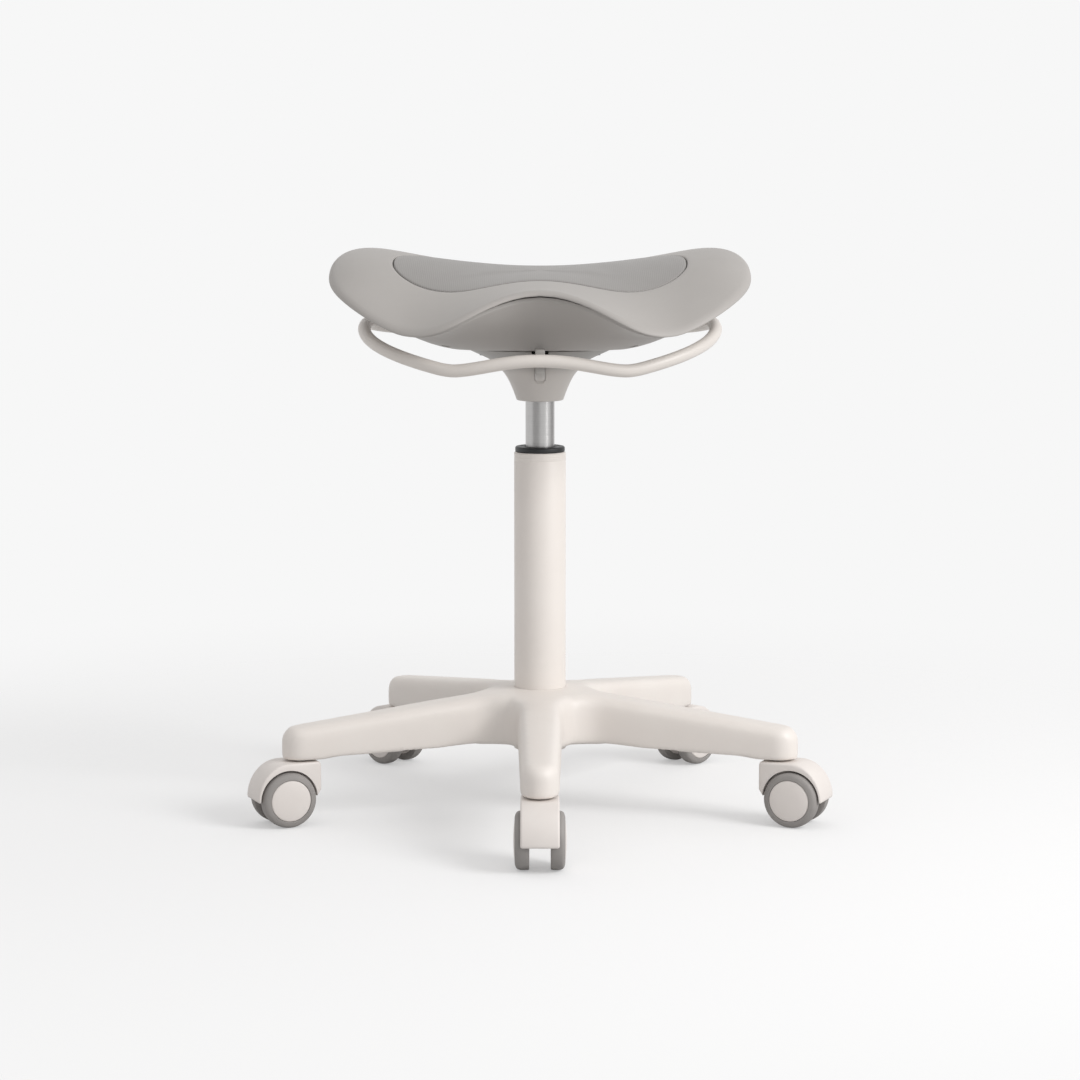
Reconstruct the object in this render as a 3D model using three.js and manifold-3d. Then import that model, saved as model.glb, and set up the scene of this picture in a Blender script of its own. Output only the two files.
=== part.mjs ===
// Perch stool: a saddle seat with an inset pad on a gas lift, a ring lever round the seat that
// releases the lift, and a five-armed base on twin-wheel casters. Millimetres, +Z up, the floor at
// zero, the front towards -Y.

import * as THREE from 'three';
import { mergeVertices } from 'three/addons/utils/BufferGeometryUtils.js';
import Module from 'manifold-3d';

const wasm = await Module();
wasm.setup();

// Fits shared by all the pieces
const gap = 0.3; // between two pieces that touch
const overrun = 6; // how far a cutter runs past what it cuts

// Heights. The seat's own pieces hang from its height, and the stand tube ends below the support.
const crestZ = 524.5; // of the saddle's crest, in its middle
const seatStack = 125.9; // from the support's foot to the crest
const liftShown = 49.8; // bright tube between the stand tube and the support
const supportFootZ = crestZ - seatStack;
const columnTopZ = supportFootZ - liftShown;

// Heights over the support's foot
const tubeHold = 41.4; // length of pressure tube inside the support
const slotFootRise = 17.9;
const slotMouthRise = 42.4;
const pivotRise = 37.4;
const ringLowRise = 37.4;
const ringClimb = 40; // from the ring's low points to its high ones
const panRise = 51.9;

// Wheels and casters. The five casters trail outwards from their stems.
const wheelRadius = 26.8;
const wheelSides = 20;
const wheelPairHalfWidth = 23.1;
const wheelGapHalfWidth = 9.6;
const treadRounding = 2.4;
const discRadius = 19.6;
const discEdge = 0.8;
const coreWall = 3.2;
const axleRadius = 4;
const axleBossRadius = 8;
const casterTrail = 19;
const hoodHalfWidth = 17.5;
const hoodReach = 30.7; // from the axle to the hood's outer wall
const hoodRise = 34.7; // from the axle to the hood's top
const hoodBack = 13.5; // from the stem's axis to the hood's inner wall
const hoodBackDrop = 27;
const hoodCorner = 3;
const hoodWheelClearance = 1.7;
const hoodSkirt = 0.8; // how far the hood reaches below the axle's axis
const webHalfWidth = 8.6;
const stemRadius = 5.5;
const stemCollarRadius = 8.5;
const stemHold = 18; // length of stem inside the hood
const socketDepth = 22;
const hoodToArm = 1.5;

// Five-armed base
const armCount = 5;
const casterReach = 239; // from the column's axis to each stem
const armTipHalfWidth = 17.8;
const armTipLength = 18.8; // from the stem's axis to the arm's end
const armRootHalfWidth = 21;
const armFillet = 30; // between two arms, in plan
const armTopCorner = 12;
const armFootCorner = 3;
const armTipHeight = 31.6;
const armRootTop = 119.2; // where the column enters
const armFloorRise = 5.8; // of the arm's underside, from tip to root
const tipBossLength = 16; // of the deeper foot round the stem, towards the column
const tipBossStep = 1.6;
const armWall = 4.5;
const hubFootRadius = 24.3;
const hubFootZ = 53;
const hubFootFlare = 7;

// Stand tube and what it holds
const columnRadius = 25;
const columnWall = 2;
const columnFootZ = 58.5;
const columnFootRadius = 24.2;
const crimpLip = 2.5; // width of the lip that carries the foot disc
const crimpHeight = 1.6;
const footDiscThickness = 4;
const bearingRadius = 13;
const bearingHeight = 4.4;
const rodRadius = 5;
const rodShoulderRadius = 9;
const rodShoulderHeight = 3;
const rodTail = 4.8; // of rod below the foot disc
const rodTopDrop = 72.8; // below the stand tube's top
const rodTopZ = columnTopZ - rodTopDrop;
const pistonRadius = 12;
const pistonHeight = 10;
const clipRadius = 8.5;
const clipThickness = 1.4;
const clipGroove = 0.8;
const bushFlangeRadius = 24;
const bushFlangeHeight = 5;
const bushDepth = 58;
const bushChamfer = 1;
const tubeRadius = 14;
const tubeWall = 1.8;
const tubeFootZ = 130;
const tubeFootWall = 10;
const tubeTopZ = supportFootZ + tubeHold;
const tubeTopWall = 9;
const taperLength = 39;
const taperDrop = 1;
const pinRadius = 4;
const pinHeadRadius = 5.6;
const pinHeadHeight = 6;
const pinStand = 3.2; // of the release pin above the tube's top
const pinTip = 1.6;

// Seat support: the trumpet-shaped housing over the tube's taper
const supportFootRadius = 23.4;
const supportFootRounding = 3;
const flareShares = [ // radius and height of the flare, as shares of its widest ring
  [0.333, 0.197], [0.39, 0.365], [0.468, 0.507], [0.605, 0.68], [0.797, 0.805], [0.906, 0.878], [1, 0.947],
];
const flareRadius = 80;
const flareHeight = 58.4;
const mechanismRadius = 20; // of the pocket over the tube's top
const slotClearance = 0.6;
const slotFootZ = supportFootZ + slotFootRise;
const slotMouthHalfWidth = 8;
const slotMouthZ = supportFootZ + slotMouthRise;

// Plan of the seat, which the ring lever, the pad and the underpan follow
const seatHalfWidth = 200;
const seatFront = 150;
const seatRear = 135;
const seatCentreY = -24;
const seatNotch = 30; // how far the front edge draws back at the middle
const seatNotchHalfWidth = seatHalfWidth / 2;
const planPower = 2.35;

// Ring lever, its arm and its pivot
const ringTubeRadius = 6;
const ringSideInset = 33; // from the seat's edge to the ring's middle line
const ringFrontInset = 34;
const ringRearInset = 8;
const ringHalfWidth = seatHalfWidth - ringSideInset;
const ringFrontY = seatFront - seatCentreY - ringFrontInset;
const ringRearY = seatRear + seatCentreY - ringRearInset;
const ringLowZ = supportFootZ + ringLowRise;
const ringHighZ = ringLowZ + ringClimb;
const ringHump = 9.8; // of the front's middle over its two low points
const ringHumpSpan = 26; // degrees round the loop
const ringRiseStart = 27;
const ringRiseEnd = 98;
const ringBend = 0.05; // share of the climb that its rounded ends take
const ringRearDrop = 11; // of the rear below the two sides
const ringDropStart = 80;
const ringDropEnd = 135;
const ringSteps = 60;
const ringSides = 8;
const armThickness = 9;
const armHold = 1.5; // how far the arm's end stops short of the ring's middle
const pivotY = 28; // ahead of the column's axis
const pivotZ = supportFootZ + pivotRise;
const pivotRadius = 2.5;
const pivotHalfLength = 34;
const pivotBossRadius = 8;
const padEndY = 8; // how far the arm runs past the release pin's axis
const armPlateTop = 10.2; // above the ring's middle
const armPlateFoot = 11.8; // below it
const armPlateLength = 16;
const armSpineTop = 3.8; // above the pad's underside
const armBellyDrop = 15.5; // below the pivot's axis
const armBellyLength = 17;

// Seat: a saddle whose height is a formula of its plan
const wingReach = 5; // of the height formula past the seat's edge
const wingSpan = seatHalfWidth + wingReach;
const wingRise = 36;
const tipRoll = 26;
const crestY = 53.7;
const tipCrestY = 70.2;
const centreFall = 11.8;
const lobeFall = 42.9;
const lobeX = seatHalfWidth * 0.675;
const fallLength = 170;
const centreFallPower = 1.3;
const tipFallPower = 2.2;
const rearFall = 22;
const rearLength = 100;
const shellRim = 5; // thickness at the edge
const shellCore = 11; // and in the middle
const shellEdgeRounding = 1.5;
const recessDepth = 6;

// Inset pad
const padSideMargin = 59.4; // of bare shell round the pad
const padFrontMargin = 76.5;
const padRearMargin = 37.5;
const padCentreY = -10.5;
const padHalfWidth = seatHalfWidth - padSideMargin;
const padFront = seatFront - seatCentreY + padCentreY - padFrontMargin;
const padRear = seatRear + seatCentreY - padCentreY - padRearMargin;
const padNotch = 22;
const padNotchHalfWidth = seatNotchHalfWidth * 0.9;
const padGroove = 0.8; // between the pad and the recess's wall
const padCrown = 2.2;
const padEdgeDrop = 2.6;
const padBedding = 0.6; // between the pad and the recess's floor
const padShares = [0.35, 0.6, 0.8, 0.92, 1];
const padSides = 36;

// Underpan: the lower shell with the rounded belly
const panInset = 8;
const panEdgeGap = 0.8; // between the underpan's edge and the shell
const panFootZ = supportFootZ + panRise;
const panWall = 4;
const panFlatShare = 0.42; // of the way out to the edge, where the belly starts to rise
const panPower = 1.5;
const panRearPower = 5; // the belly is fuller towards the rear

// Screws: four in the support's flange, four through the underpan into the shell
const screwRadius = 2.2;
const screwHeadRadius = 4;
const screwHeadHeight = 3;
const screwGrip = 4; // of material over the head
const screwBite = 10;
const screwSides = 8;
const bossRadius = 6.5;
const flangeScrewRadius = 56;
const flangeScrewDegrees = 15; // of each screw from the stool's side
const panScrewShares = [ // of the way from the plan's middle to its side, and to its rear or front
  { across: 0.53, along: 0.43 },
  { across: 0.44, along: -0.32 },
];

const quarterTurn = Math.PI / 2;
const halfStep = Math.PI / armCount;

const smooth = (t) => {
  const held = THREE.MathUtils.clamp(t, 0, 1);
  return held * held * (3 - 2 * held);
};

// A closed geometry as a solid: shared vertices merged, flat triangles dropped, faces out
function solid(geometry) {
  const bare = new THREE.BufferGeometry();
  bare.setAttribute('position', geometry.getAttribute('position'));
  bare.setIndex(geometry.index);
  const merged = mergeVertices(bare);
  const vertProperties = new Float32Array(merged.getAttribute('position').array);
  const corner = (i) => new THREE.Vector3().fromArray(vertProperties, 3 * i);
  const faces = [];
  let volume = 0;
  for (let i = 0; i < merged.index.count; i += 3) {
    const [a, b, c] = [0, 1, 2].map((k) => merged.index.getX(i + k));
    if (a === b || b === c || c === a) continue;
    faces.push([a, b, c]);
    volume += corner(a).dot(corner(b).cross(corner(c)));
  }
  const triVerts = new Uint32Array(faces.flatMap(([a, b, c]) => (volume > 0 ? [a, b, c] : [a, c, b])));
  return new wasm.Manifold(new wasm.Mesh({ numProp: 3, vertProperties, triVerts }));
}

// A solid as a geometry with flat faces
function geometryOf(manifold) {
  const mesh = manifold.getMesh();
  const geometry = new THREE.BufferGeometry();
  geometry.setAttribute('position', new THREE.BufferAttribute(new Float32Array(mesh.vertProperties), 3));
  geometry.setIndex(new THREE.BufferAttribute(new Uint32Array(mesh.triVerts), 1));
  geometry.computeVertexNormals();
  return geometry;
}

const cut = (body, ...tools) => tools.reduce((left, tool) => left.subtract(tool), body);
const join = (...bodies) => bodies.reduce((left, body) => left.add(body));

// A profile of [radius, height] pairs turned about Z, with a flat side straight down when laid over
function turned(profile, sides) {
  const points = profile.map(([r, z]) => new THREE.Vector2(r, z));
  const geometry = new THREE.LatheGeometry(points, sides, Math.PI / sides);
  return geometry.rotateX(quarterTurn);
}

function rod(radius, bottom, top, sides) {
  return turned([[0, bottom], [radius, bottom], [radius, top], [0, top]], sides);
}

function block(low, high) {
  const size = new THREE.Vector3().subVectors(high, low);
  const geometry = new THREE.BoxGeometry(size.x, size.y, size.z);
  const middle = new THREE.Vector3().addVectors(low, high).multiplyScalar(0.5);
  return geometry.translate(middle.x, middle.y, middle.z);
}

// Closed rings of points joined one to the next, with a flat cap on each end
function loft(rings) {
  const count = rings[0].length;
  const middles = [rings[0], rings[rings.length - 1]].map((ring) =>
    ring.reduce((sum, p) => sum.add(p), new THREE.Vector3()).divideScalar(count));
  const positions = [...rings.flat(), ...middles].flatMap((p) => [p.x, p.y, p.z]);
  const index = [];
  const [startMiddle, endMiddle] = [rings.length * count, rings.length * count + 1];
  const lastRing = (rings.length - 1) * count;
  for (let j = 0; j < count; j++) {
    const next = (j + 1) % count;
    for (let i = 0; i < rings.length - 1; i++) {
      const [a, b] = [i * count + j, i * count + next];
      index.push(a, b, b + count, a, b + count, a + count);
    }
    index.push(startMiddle, next, j, endMiddle, lastRing + j, lastRing + next);
  }
  const geometry = new THREE.BufferGeometry();
  geometry.setAttribute('position', new THREE.Float32BufferAttribute(positions, 3));
  geometry.setIndex(index);
  return geometry;
}

// Caster, in its own frame: the stem's axis at the origin, the trail along +X
const axleZ = wheelRadius * Math.cos(Math.PI / wheelSides);
const hoodTopZ = axleZ + hoodRise;
const armFootZ = hoodTopZ + hoodToArm;
const alongY = (geometry) => geometry.rotateX(quarterTurn).translate(casterTrail, 0, axleZ);

function hoodSolid() {
  const arcStart = -Math.asin(hoodSkirt / hoodRise);
  const side = new THREE.Shape();
  side.absellipse(casterTrail, axleZ, hoodReach, hoodRise, arcStart, quarterTurn, false);
  side.lineTo(-hoodBack + hoodCorner, hoodTopZ);
  side.quadraticCurveTo(-hoodBack, hoodTopZ, -hoodBack, hoodTopZ - hoodCorner);
  side.lineTo(-hoodBack, hoodTopZ - hoodBackDrop);
  side.lineTo(casterTrail - wheelRadius, axleZ - hoodSkirt);
  const options = { depth: 2 * hoodHalfWidth, curveSegments: 9, bevelEnabled: false };
  const outer = new THREE.ExtrudeGeometry(side, options).rotateX(quarterTurn).translate(0, hoodHalfWidth, 0);
  const wheelRoom = wheelRadius + hoodWheelClearance;
  const rooms = [-1, 1].map((way) => {
    const [near, far] = [webHalfWidth, hoodHalfWidth + overrun].map((v) => v * way);
    return solid(alongY(rod(wheelRoom, near, far, wheelSides)));
  });
  const boss = solid(alongY(rod(axleBossRadius, -webHalfWidth, webHalfWidth, 16)));
  const axleBore = solid(alongY(rod(axleRadius + gap, -webHalfWidth - overrun, webHalfWidth + overrun, 12)));
  const stemBore = solid(rod(stemRadius + gap, hoodTopZ - stemHold - gap, hoodTopZ + overrun, 12));
  return cut(join(cut(solid(outer), ...rooms), boss), axleBore, stemBore);
}

function stemSolid() {
  const top = armFootZ + socketDepth - gap;
  return solid(turned([
    [0, hoodTopZ - stemHold], [stemRadius, hoodTopZ - stemHold], [stemRadius, hoodTopZ + gap],
    [stemCollarRadius, hoodTopZ + gap], [stemCollarRadius, armFootZ - gap], [stemRadius, armFootZ - gap],
    [stemRadius, top - stemRadius / 4], [stemRadius * 3 / 4, top], [0, top],
  ], 12));
}

// Half of the axle's length: it ends inside the two wheels' blind bores
const axleHalfLength = wheelPairHalfWidth - coreWall - gap;
const axleSolid = () => solid(alongY(rod(axleRadius, -axleHalfLength, axleHalfLength, 12)));

function coreSolid() {
  const face = wheelPairHalfWidth - gap;
  return solid(turned([
    [0, face], [discRadius - discEdge, face], [discRadius, face - discEdge],
    [discRadius, wheelGapHalfWidth], [axleRadius + gap, wheelGapHalfWidth],
    [axleRadius + gap, wheelPairHalfWidth - coreWall], [0, wheelPairHalfWidth - coreWall],
  ], wheelSides));
}

function tyreSolid() {
  const inner = (discRadius + gap) / Math.cos(Math.PI / wheelSides);
  return solid(turned([
    [inner, wheelGapHalfWidth], [wheelRadius, wheelGapHalfWidth],
    [wheelRadius, wheelPairHalfWidth - treadRounding],
    [wheelRadius - treadRounding, wheelPairHalfWidth], [inner, wheelPairHalfWidth],
    [inner, wheelGapHalfWidth],
  ], wheelSides));
}

// One arm of the base, along +X from the column's axis
const filletCentreReach = (armRootHalfWidth + armFillet) / Math.tan(halfStep);
const webReach = (armRootHalfWidth + armFillet) / Math.sin(halfStep) - armFillet;
const webStation = webReach * Math.cos(halfStep);
const armEnd = casterReach + armTipLength;
const armTipTop = armFootZ + armTipHeight;

function armHalfWidth(u) {
  if (u > casterReach) {
    const past = (u - casterReach) / armTipLength;
    return armTipHalfWidth * Math.sqrt(1 - past * past);
  }
  if (u < webStation) return u * Math.tan(halfStep) + gap;
  if (u < filletCentreReach) {
    const back = filletCentreReach - u;
    return armRootHalfWidth + armFillet - Math.sqrt(armFillet * armFillet - back * back);
  }
  const share = (u - filletCentreReach) / (casterReach - filletCentreReach);
  return THREE.MathUtils.lerp(armRootHalfWidth, armTipHalfWidth, share);
}

function armTop(u) {
  const line = THREE.MathUtils.mapLinear(u, columnRadius, casterReach, armRootTop, armTipTop);
  const past = u - (armEnd - armTopCorner);
  if (past <= 0) return line;
  return line - armTopCorner + Math.sqrt(armTopCorner * armTopCorner - past * past);
}

function armFloor(u) {
  const inward = Math.max(casterReach - tipBossLength - u, 0);
  return armFootZ + tipBossStep * smooth(inward / tipBossLength)
    + (armFloorRise - tipBossStep) * inward / (casterReach - columnRadius);
}

// A cross-section with large top corners and small foot corners
function armRing(u) {
  const half = armHalfWidth(u);
  const corner = Math.min(armTopCorner, half);
  const foot = Math.min(armFootCorner, half / 2);
  const [top, floor] = [armTop(u), armFloor(u)];
  const right = [[half - foot, floor], [half, floor + foot]];
  for (const turn of [0, 1, 2, 3].map((k) => k * quarterTurn / 3)) {
    right.push([half - corner + corner * Math.cos(turn), top - corner + corner * Math.sin(turn)]);
  }
  const left = [...right].reverse().map(([y, z]) => [-y, z]);
  return [...right, ...left].map(([y, z]) => new THREE.Vector3(u, y, z));
}

function armSolid() {
  const root = [0.6].map((share) => webStation * share);
  const fillet = [0, 0.35, 1].map((share) => THREE.MathUtils.lerp(webStation, filletCentreReach, share));
  const span = [0.8, 0.9, 1].map((share) => THREE.MathUtils.lerp(filletCentreReach, casterReach, share));
  const tip = [0.42, 0.72, 0.9, 0.985].map((share) => casterReach + armTipLength * share);
  return solid(loft([...root, ...fillet, ...span, ...tip].map(armRing)));
}

// The hollow under the arm, open downwards
function armPocketSolid() {
  const ends = [filletCentreReach, casterReach - tipBossLength - armTipHalfWidth];
  const rings = [0, 0.5, 1].map((share) => {
    const u = THREE.MathUtils.lerp(...ends, share);
    const half = armHalfWidth(u) - armWall;
    const roof = armTop(u) - armWall;
    const chamfer = armTopCorner - armWall / 2;
    const right = [[half, armFootZ - overrun], [half, roof - chamfer], [half - chamfer, roof]];
    const left = [...right].reverse().map(([y, z]) => [-y, z]);
    return [...right, ...left].map(([y, z]) => new THREE.Vector3(u, y, z));
  });
  return solid(loft(rings));
}

function baseSolid() {
  const hubEdge = webReach - gap;
  const shoulder = armTop(hubEdge - armTopCorner);
  const floor = armFloor(webStation);
  const hub = turned([
    [0, hubFootZ], [hubFootRadius, hubFootZ], [hubFootRadius + hubFootFlare / 4, floor - hubFootFlare / 2],
    [hubFootRadius + hubFootFlare, floor], [hubEdge - armFootCorner, floor], [hubEdge, floor + armFootCorner],
    [hubEdge, shoulder - armTopCorner], [hubEdge - armTopCorner * 0.3, shoulder - armTopCorner * 0.3],
    [hubEdge - armTopCorner, shoulder], [columnRadius, armRootTop], [0, armRootTop],
  ], 30);
  const arms = [...Array(armCount).keys()].map((k) => {
    const turn = 2 * halfStep * k * THREE.MathUtils.RAD2DEG;
    const bore = solid(rod(stemRadius + gap, armFootZ - overrun, armFootZ + socketDepth, 12));
    const hollowed = cut(armSolid(), armPocketSolid(), bore.translate(casterReach, 0, 0));
    return hollowed.rotate(0, 0, turn);
  });
  const columnBore = solid(turned([
    [0, hubFootZ - overrun], [columnFootRadius + gap, hubFootZ - overrun],
    [columnFootRadius + gap, columnFootZ], [columnRadius + gap, armRootTop],
    [columnRadius + gap, armRootTop + overrun], [0, armRootTop + overrun],
  ], 30));
  return cut(join(solid(hub), ...arms), columnBore);
}

// The column's pieces, all turned about its axis
function standTubeSolid() {
  const inner = columnFootRadius - columnWall;
  return solid(turned([
    [columnFootRadius, columnFootZ], [columnRadius, armRootTop], [columnRadius, columnTopZ],
    [columnRadius - columnWall, columnTopZ], [columnRadius - columnWall, armRootTop],
    [inner, columnFootZ + crimpHeight], [inner - crimpLip, columnFootZ + crimpHeight],
    [inner - crimpLip, columnFootZ], [columnFootRadius, columnFootZ],
  ], 30));
}

const discFootZ = columnFootZ + crimpHeight + gap;
const discTopZ = discFootZ + footDiscThickness;
const bearingTopZ = discTopZ + gap + bearingHeight;
const rodFootZ = discFootZ - rodTail;

const ringOf = (inner, outer, bottom, top, sides) => solid(turned([
  [inner, bottom], [outer, bottom], [outer, top], [inner, top], [inner, bottom],
], sides));

function rodSolid() {
  const shoulder = bearingTopZ + gap;
  const clipTop = discFootZ - gap;
  const groove = rodRadius - clipGroove;
  return solid(turned([
    [0, rodFootZ], [rodRadius, rodFootZ], [rodRadius, clipTop - clipThickness - gap],
    [groove, clipTop - clipThickness - gap], [groove, clipTop], [rodRadius, clipTop],
    [rodRadius, shoulder], [rodShoulderRadius, shoulder], [rodShoulderRadius, shoulder + rodShoulderHeight],
    [rodRadius, shoulder + rodShoulderHeight], [rodRadius, rodTopZ - pistonHeight],
    [pistonRadius, rodTopZ - pistonHeight], [pistonRadius, rodTopZ], [0, rodTopZ],
  ], 16));
}

function bushSolid() {
  const flangeFoot = columnTopZ + gap;
  const flangeTop = flangeFoot + bushFlangeHeight;
  const inner = tubeRadius + gap;
  const sleeve = columnRadius - columnWall - gap;
  return solid(turned([
    [inner, columnTopZ - bushDepth], [sleeve, columnTopZ - bushDepth], [sleeve, flangeFoot],
    [bushFlangeRadius, flangeFoot], [bushFlangeRadius, flangeTop - bushChamfer],
    [bushFlangeRadius - bushChamfer, flangeTop], [inner + bushChamfer, flangeTop],
    [inner, flangeTop - bushChamfer], [inner, columnTopZ - bushDepth],
  ], 30));
}

// The outside of the pressure tube's taper, which the support's socket repeats with a gap
const taperFootZ = tubeTopZ - taperLength;
const taperTopRadius = tubeRadius - taperDrop;

function pressureTubeSolid() {
  const inner = tubeRadius - tubeWall;
  return solid(turned([
    [tubeRadius - tubeWall, tubeFootZ], [tubeRadius, tubeFootZ + tubeWall], [tubeRadius, taperFootZ],
    [taperTopRadius, tubeTopZ], [pinRadius + gap, tubeTopZ], [pinRadius + gap, tubeTopZ - tubeTopWall],
    [taperTopRadius - tubeWall, tubeTopZ - tubeTopWall], [inner, taperFootZ], [inner, tubeFootZ + tubeFootWall],
    [rodRadius + gap, tubeFootZ + tubeFootWall], [rodRadius + gap, tubeFootZ],
    [tubeRadius - tubeWall, tubeFootZ],
  ], 20));
}

const pinTopZ = tubeTopZ + pinStand;

function pinSolid() {
  const headTop = tubeTopZ - tubeTopWall - gap;
  return solid(turned([
    [0, headTop - pinHeadHeight], [pinHeadRadius, headTop - pinHeadHeight], [pinHeadRadius, headTop],
    [pinRadius, headTop], [pinRadius, pinTopZ - pinTip], [pinRadius / 2, pinTopZ], [0, pinTopZ],
  ], 16));
}

// The seat's plan: half of a superellipse ahead of its middle and half behind, the front drawn back
// by a notch at the middle. A plan is turned into a share of the way from its middle to its edge.
const seatPlan = {
  half: seatHalfWidth, front: seatFront, rear: seatRear, middle: seatCentreY,
  notch: seatNotch, notchHalf: seatNotchHalfWidth,
};
const padPlan = {
  half: padHalfWidth, front: padFront, rear: padRear, middle: padCentreY,
  notch: padNotch, notchHalf: padNotchHalfWidth,
};
const inset = (plan, by) => ({ ...plan, half: plan.half - by, front: plan.front - by, rear: plan.rear - by });

function planDepth(plan, x, ahead) {
  if (!ahead) return plan.rear;
  const nearMiddle = Math.cos(THREE.MathUtils.clamp(x / plan.notchHalf, -1, 1) * quarterTurn);
  return plan.front - plan.notch * nearMiddle * nearMiddle;
}

function planEdge(plan, turn) {
  const [c, s] = [Math.cos(turn), Math.sin(turn)];
  const x = plan.half * Math.sign(c) * Math.abs(c) ** (2 / planPower);
  const depth = planDepth(plan, x, s < 0);
  return [x, plan.middle + depth * Math.sign(s) * Math.abs(s) ** (2 / planPower)];
}

function planShare(plan, x, y) {
  const across = Math.abs(x) / plan.half;
  const along = Math.abs(y - plan.middle) / planDepth(plan, x, y < plan.middle);
  return Math.min((across ** planPower + along ** planPower) ** (1 / planPower), 1);
}

// Height of the seat's top
function saddle(x, y) {
  const out = Math.abs(x) / wingSpan;
  const crest = crestZ + wingRise * out ** 2 - tipRoll * out ** 8;
  const ridgeY = THREE.MathUtils.lerp(crestY, tipCrestY, out * out);
  const fall = THREE.MathUtils.lerp(centreFall, lobeFall, smooth(Math.abs(x) / lobeX));
  const power = THREE.MathUtils.lerp(centreFallPower, tipFallPower, smooth(out));
  const ahead = Math.max(ridgeY - y, 0) / fallLength;
  const behind = Math.max(y - ridgeY, 0) / rearLength;
  return crest - fall * ahead ** power - rearFall * behind ** 2;
}

const shellThickness = (x, y) => THREE.MathUtils.lerp(shellCore, shellRim, planShare(seatPlan, x, y) ** 3);
const shellUnderside = (x, y) => saddle(x, y) - shellThickness(x, y);
const panPlan = inset(seatPlan, panInset);
const panShares = [0.42, 0.55, 0.68, 0.8, 0.91, 1];
const panSides = 36;

// The belly: flat in the middle, then rising to just under the shell at its edge
function belly(x, y) {
  const edge = shellUnderside(x, y) - panEdgeGap - panWall;
  const power = THREE.MathUtils.lerp(panPower, panRearPower, smooth((y - seatCentreY) / panPlan.rear));
  const out = Math.max(planShare(panPlan, x, y) - panFlatShare, 0) / (1 - panFlatShare);
  return THREE.MathUtils.lerp(panFootZ, edge, out ** power);
}

// A body between two height formulas over a plan. The shares are its rings, middle to edge.
function slab(plan, top, bottom, shares, sides) {
  const positions = [];
  const at = (x, y, height) => positions.push(x, y, height) / 3 - 1;
  const sheet = (height) => {
    const middle = at(0, plan.middle, height(0, plan.middle, 0));
    const rings = shares.map((share) => [...Array(sides).keys()].map((k) => {
      const [edgeX, edgeY] = planEdge(plan, 2 * Math.PI * (k + 0.5) / sides);
      const [x, y] = [edgeX * share, plan.middle + (edgeY - plan.middle) * share];
      return at(x, y, height(x, y, share));
    }));
    return { middle, rings };
  };
  const [upper, lower] = [sheet(top), sheet(bottom)];
  const index = [];
  for (let k = 0; k < sides; k++) {
    const next = (k + 1) % sides;
    index.push(upper.middle, upper.rings[0][k], upper.rings[0][next]);
    index.push(lower.middle, lower.rings[0][next], lower.rings[0][k]);
    for (let i = 0; i < shares.length - 1; i++) {
      const [a, b] = [upper.rings[i], upper.rings[i + 1]];
      index.push(a[k], b[k], b[next], a[k], b[next], a[next]);
      const [c, d] = [lower.rings[i], lower.rings[i + 1]];
      index.push(c[k], d[next], d[k], c[k], c[next], d[next]);
    }
    const [rim, foot] = [upper.rings.at(-1), lower.rings.at(-1)];
    index.push(rim[k], foot[k], foot[next], rim[k], foot[next], rim[next]);
  }
  const geometry = new THREE.BufferGeometry();
  geometry.setAttribute('position', new THREE.Float32BufferAttribute(positions, 3));
  geometry.setIndex(index);
  return solid(geometry);
}

const panScrews = panScrewShares.flatMap(({ across, along }) => {
  const x = seatHalfWidth * across;
  const y = seatCentreY + along * (along > 0 ? seatRear : seatFront);
  return [{ x, y }, { x: -x, y }];
});
const flangeScrews = [1, -1].flatMap((side) => [1, -1].map((end) => {
  const turn = end * THREE.MathUtils.degToRad(flangeScrewDegrees);
  return { x: side * flangeScrewRadius * Math.cos(turn), y: flangeScrewRadius * Math.sin(turn) };
}));
const upright = (radius, bottom, top, { x, y }) =>
  solid(rod(radius, bottom, top, screwSides).translate(x, y, 0));

// Where a screw's head bears, for the support's flange and for the underpan
const flangeSeatZ = panFootZ - gap - screwGrip;
const panBearingZ = ({ x, y }) => belly(x, y) + screwHeadHeight + screwHeadRadius / 2;
const panBossTopZ = (place) => panBearingZ(place) + screwGrip;

function screwSolid(seat, length) {
  const head = seat - gap;
  return solid(turned([
    [0, head - screwHeadHeight], [screwHeadRadius, head - screwHeadHeight], [screwHeadRadius, head],
    [screwRadius, head], [screwRadius, head + length], [0, head + length],
  ], screwSides));
}

function panSolid() {
  const wall = slab(panPlan, (x, y) => belly(x, y) + panWall, belly, panShares, panSides);
  const bosses = [
    ...panScrews.map((p) => upright(bossRadius, belly(p.x, p.y) + panWall / 2, panBossTopZ(p), p)),
    ...flangeScrews.map((p) => upright(bossRadius, belly(p.x, p.y) + panWall / 2,
      panFootZ + 2 * screwBite, p)),
  ];
  const bores = [
    ...panScrews.map((p) => upright(screwRadius + gap, belly(p.x, p.y) - overrun, panBossTopZ(p) + overrun, p)),
    ...panScrews.map((p) => upright(screwHeadRadius + gap, belly(p.x, p.y) - overrun, panBearingZ(p), p)),
    ...flangeScrews.map((p) => upright(screwRadius + gap, panFootZ - overrun, panFootZ + screwBite, p)),
  ];
  return cut(join(wall, ...bosses), ...bores);
}

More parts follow.
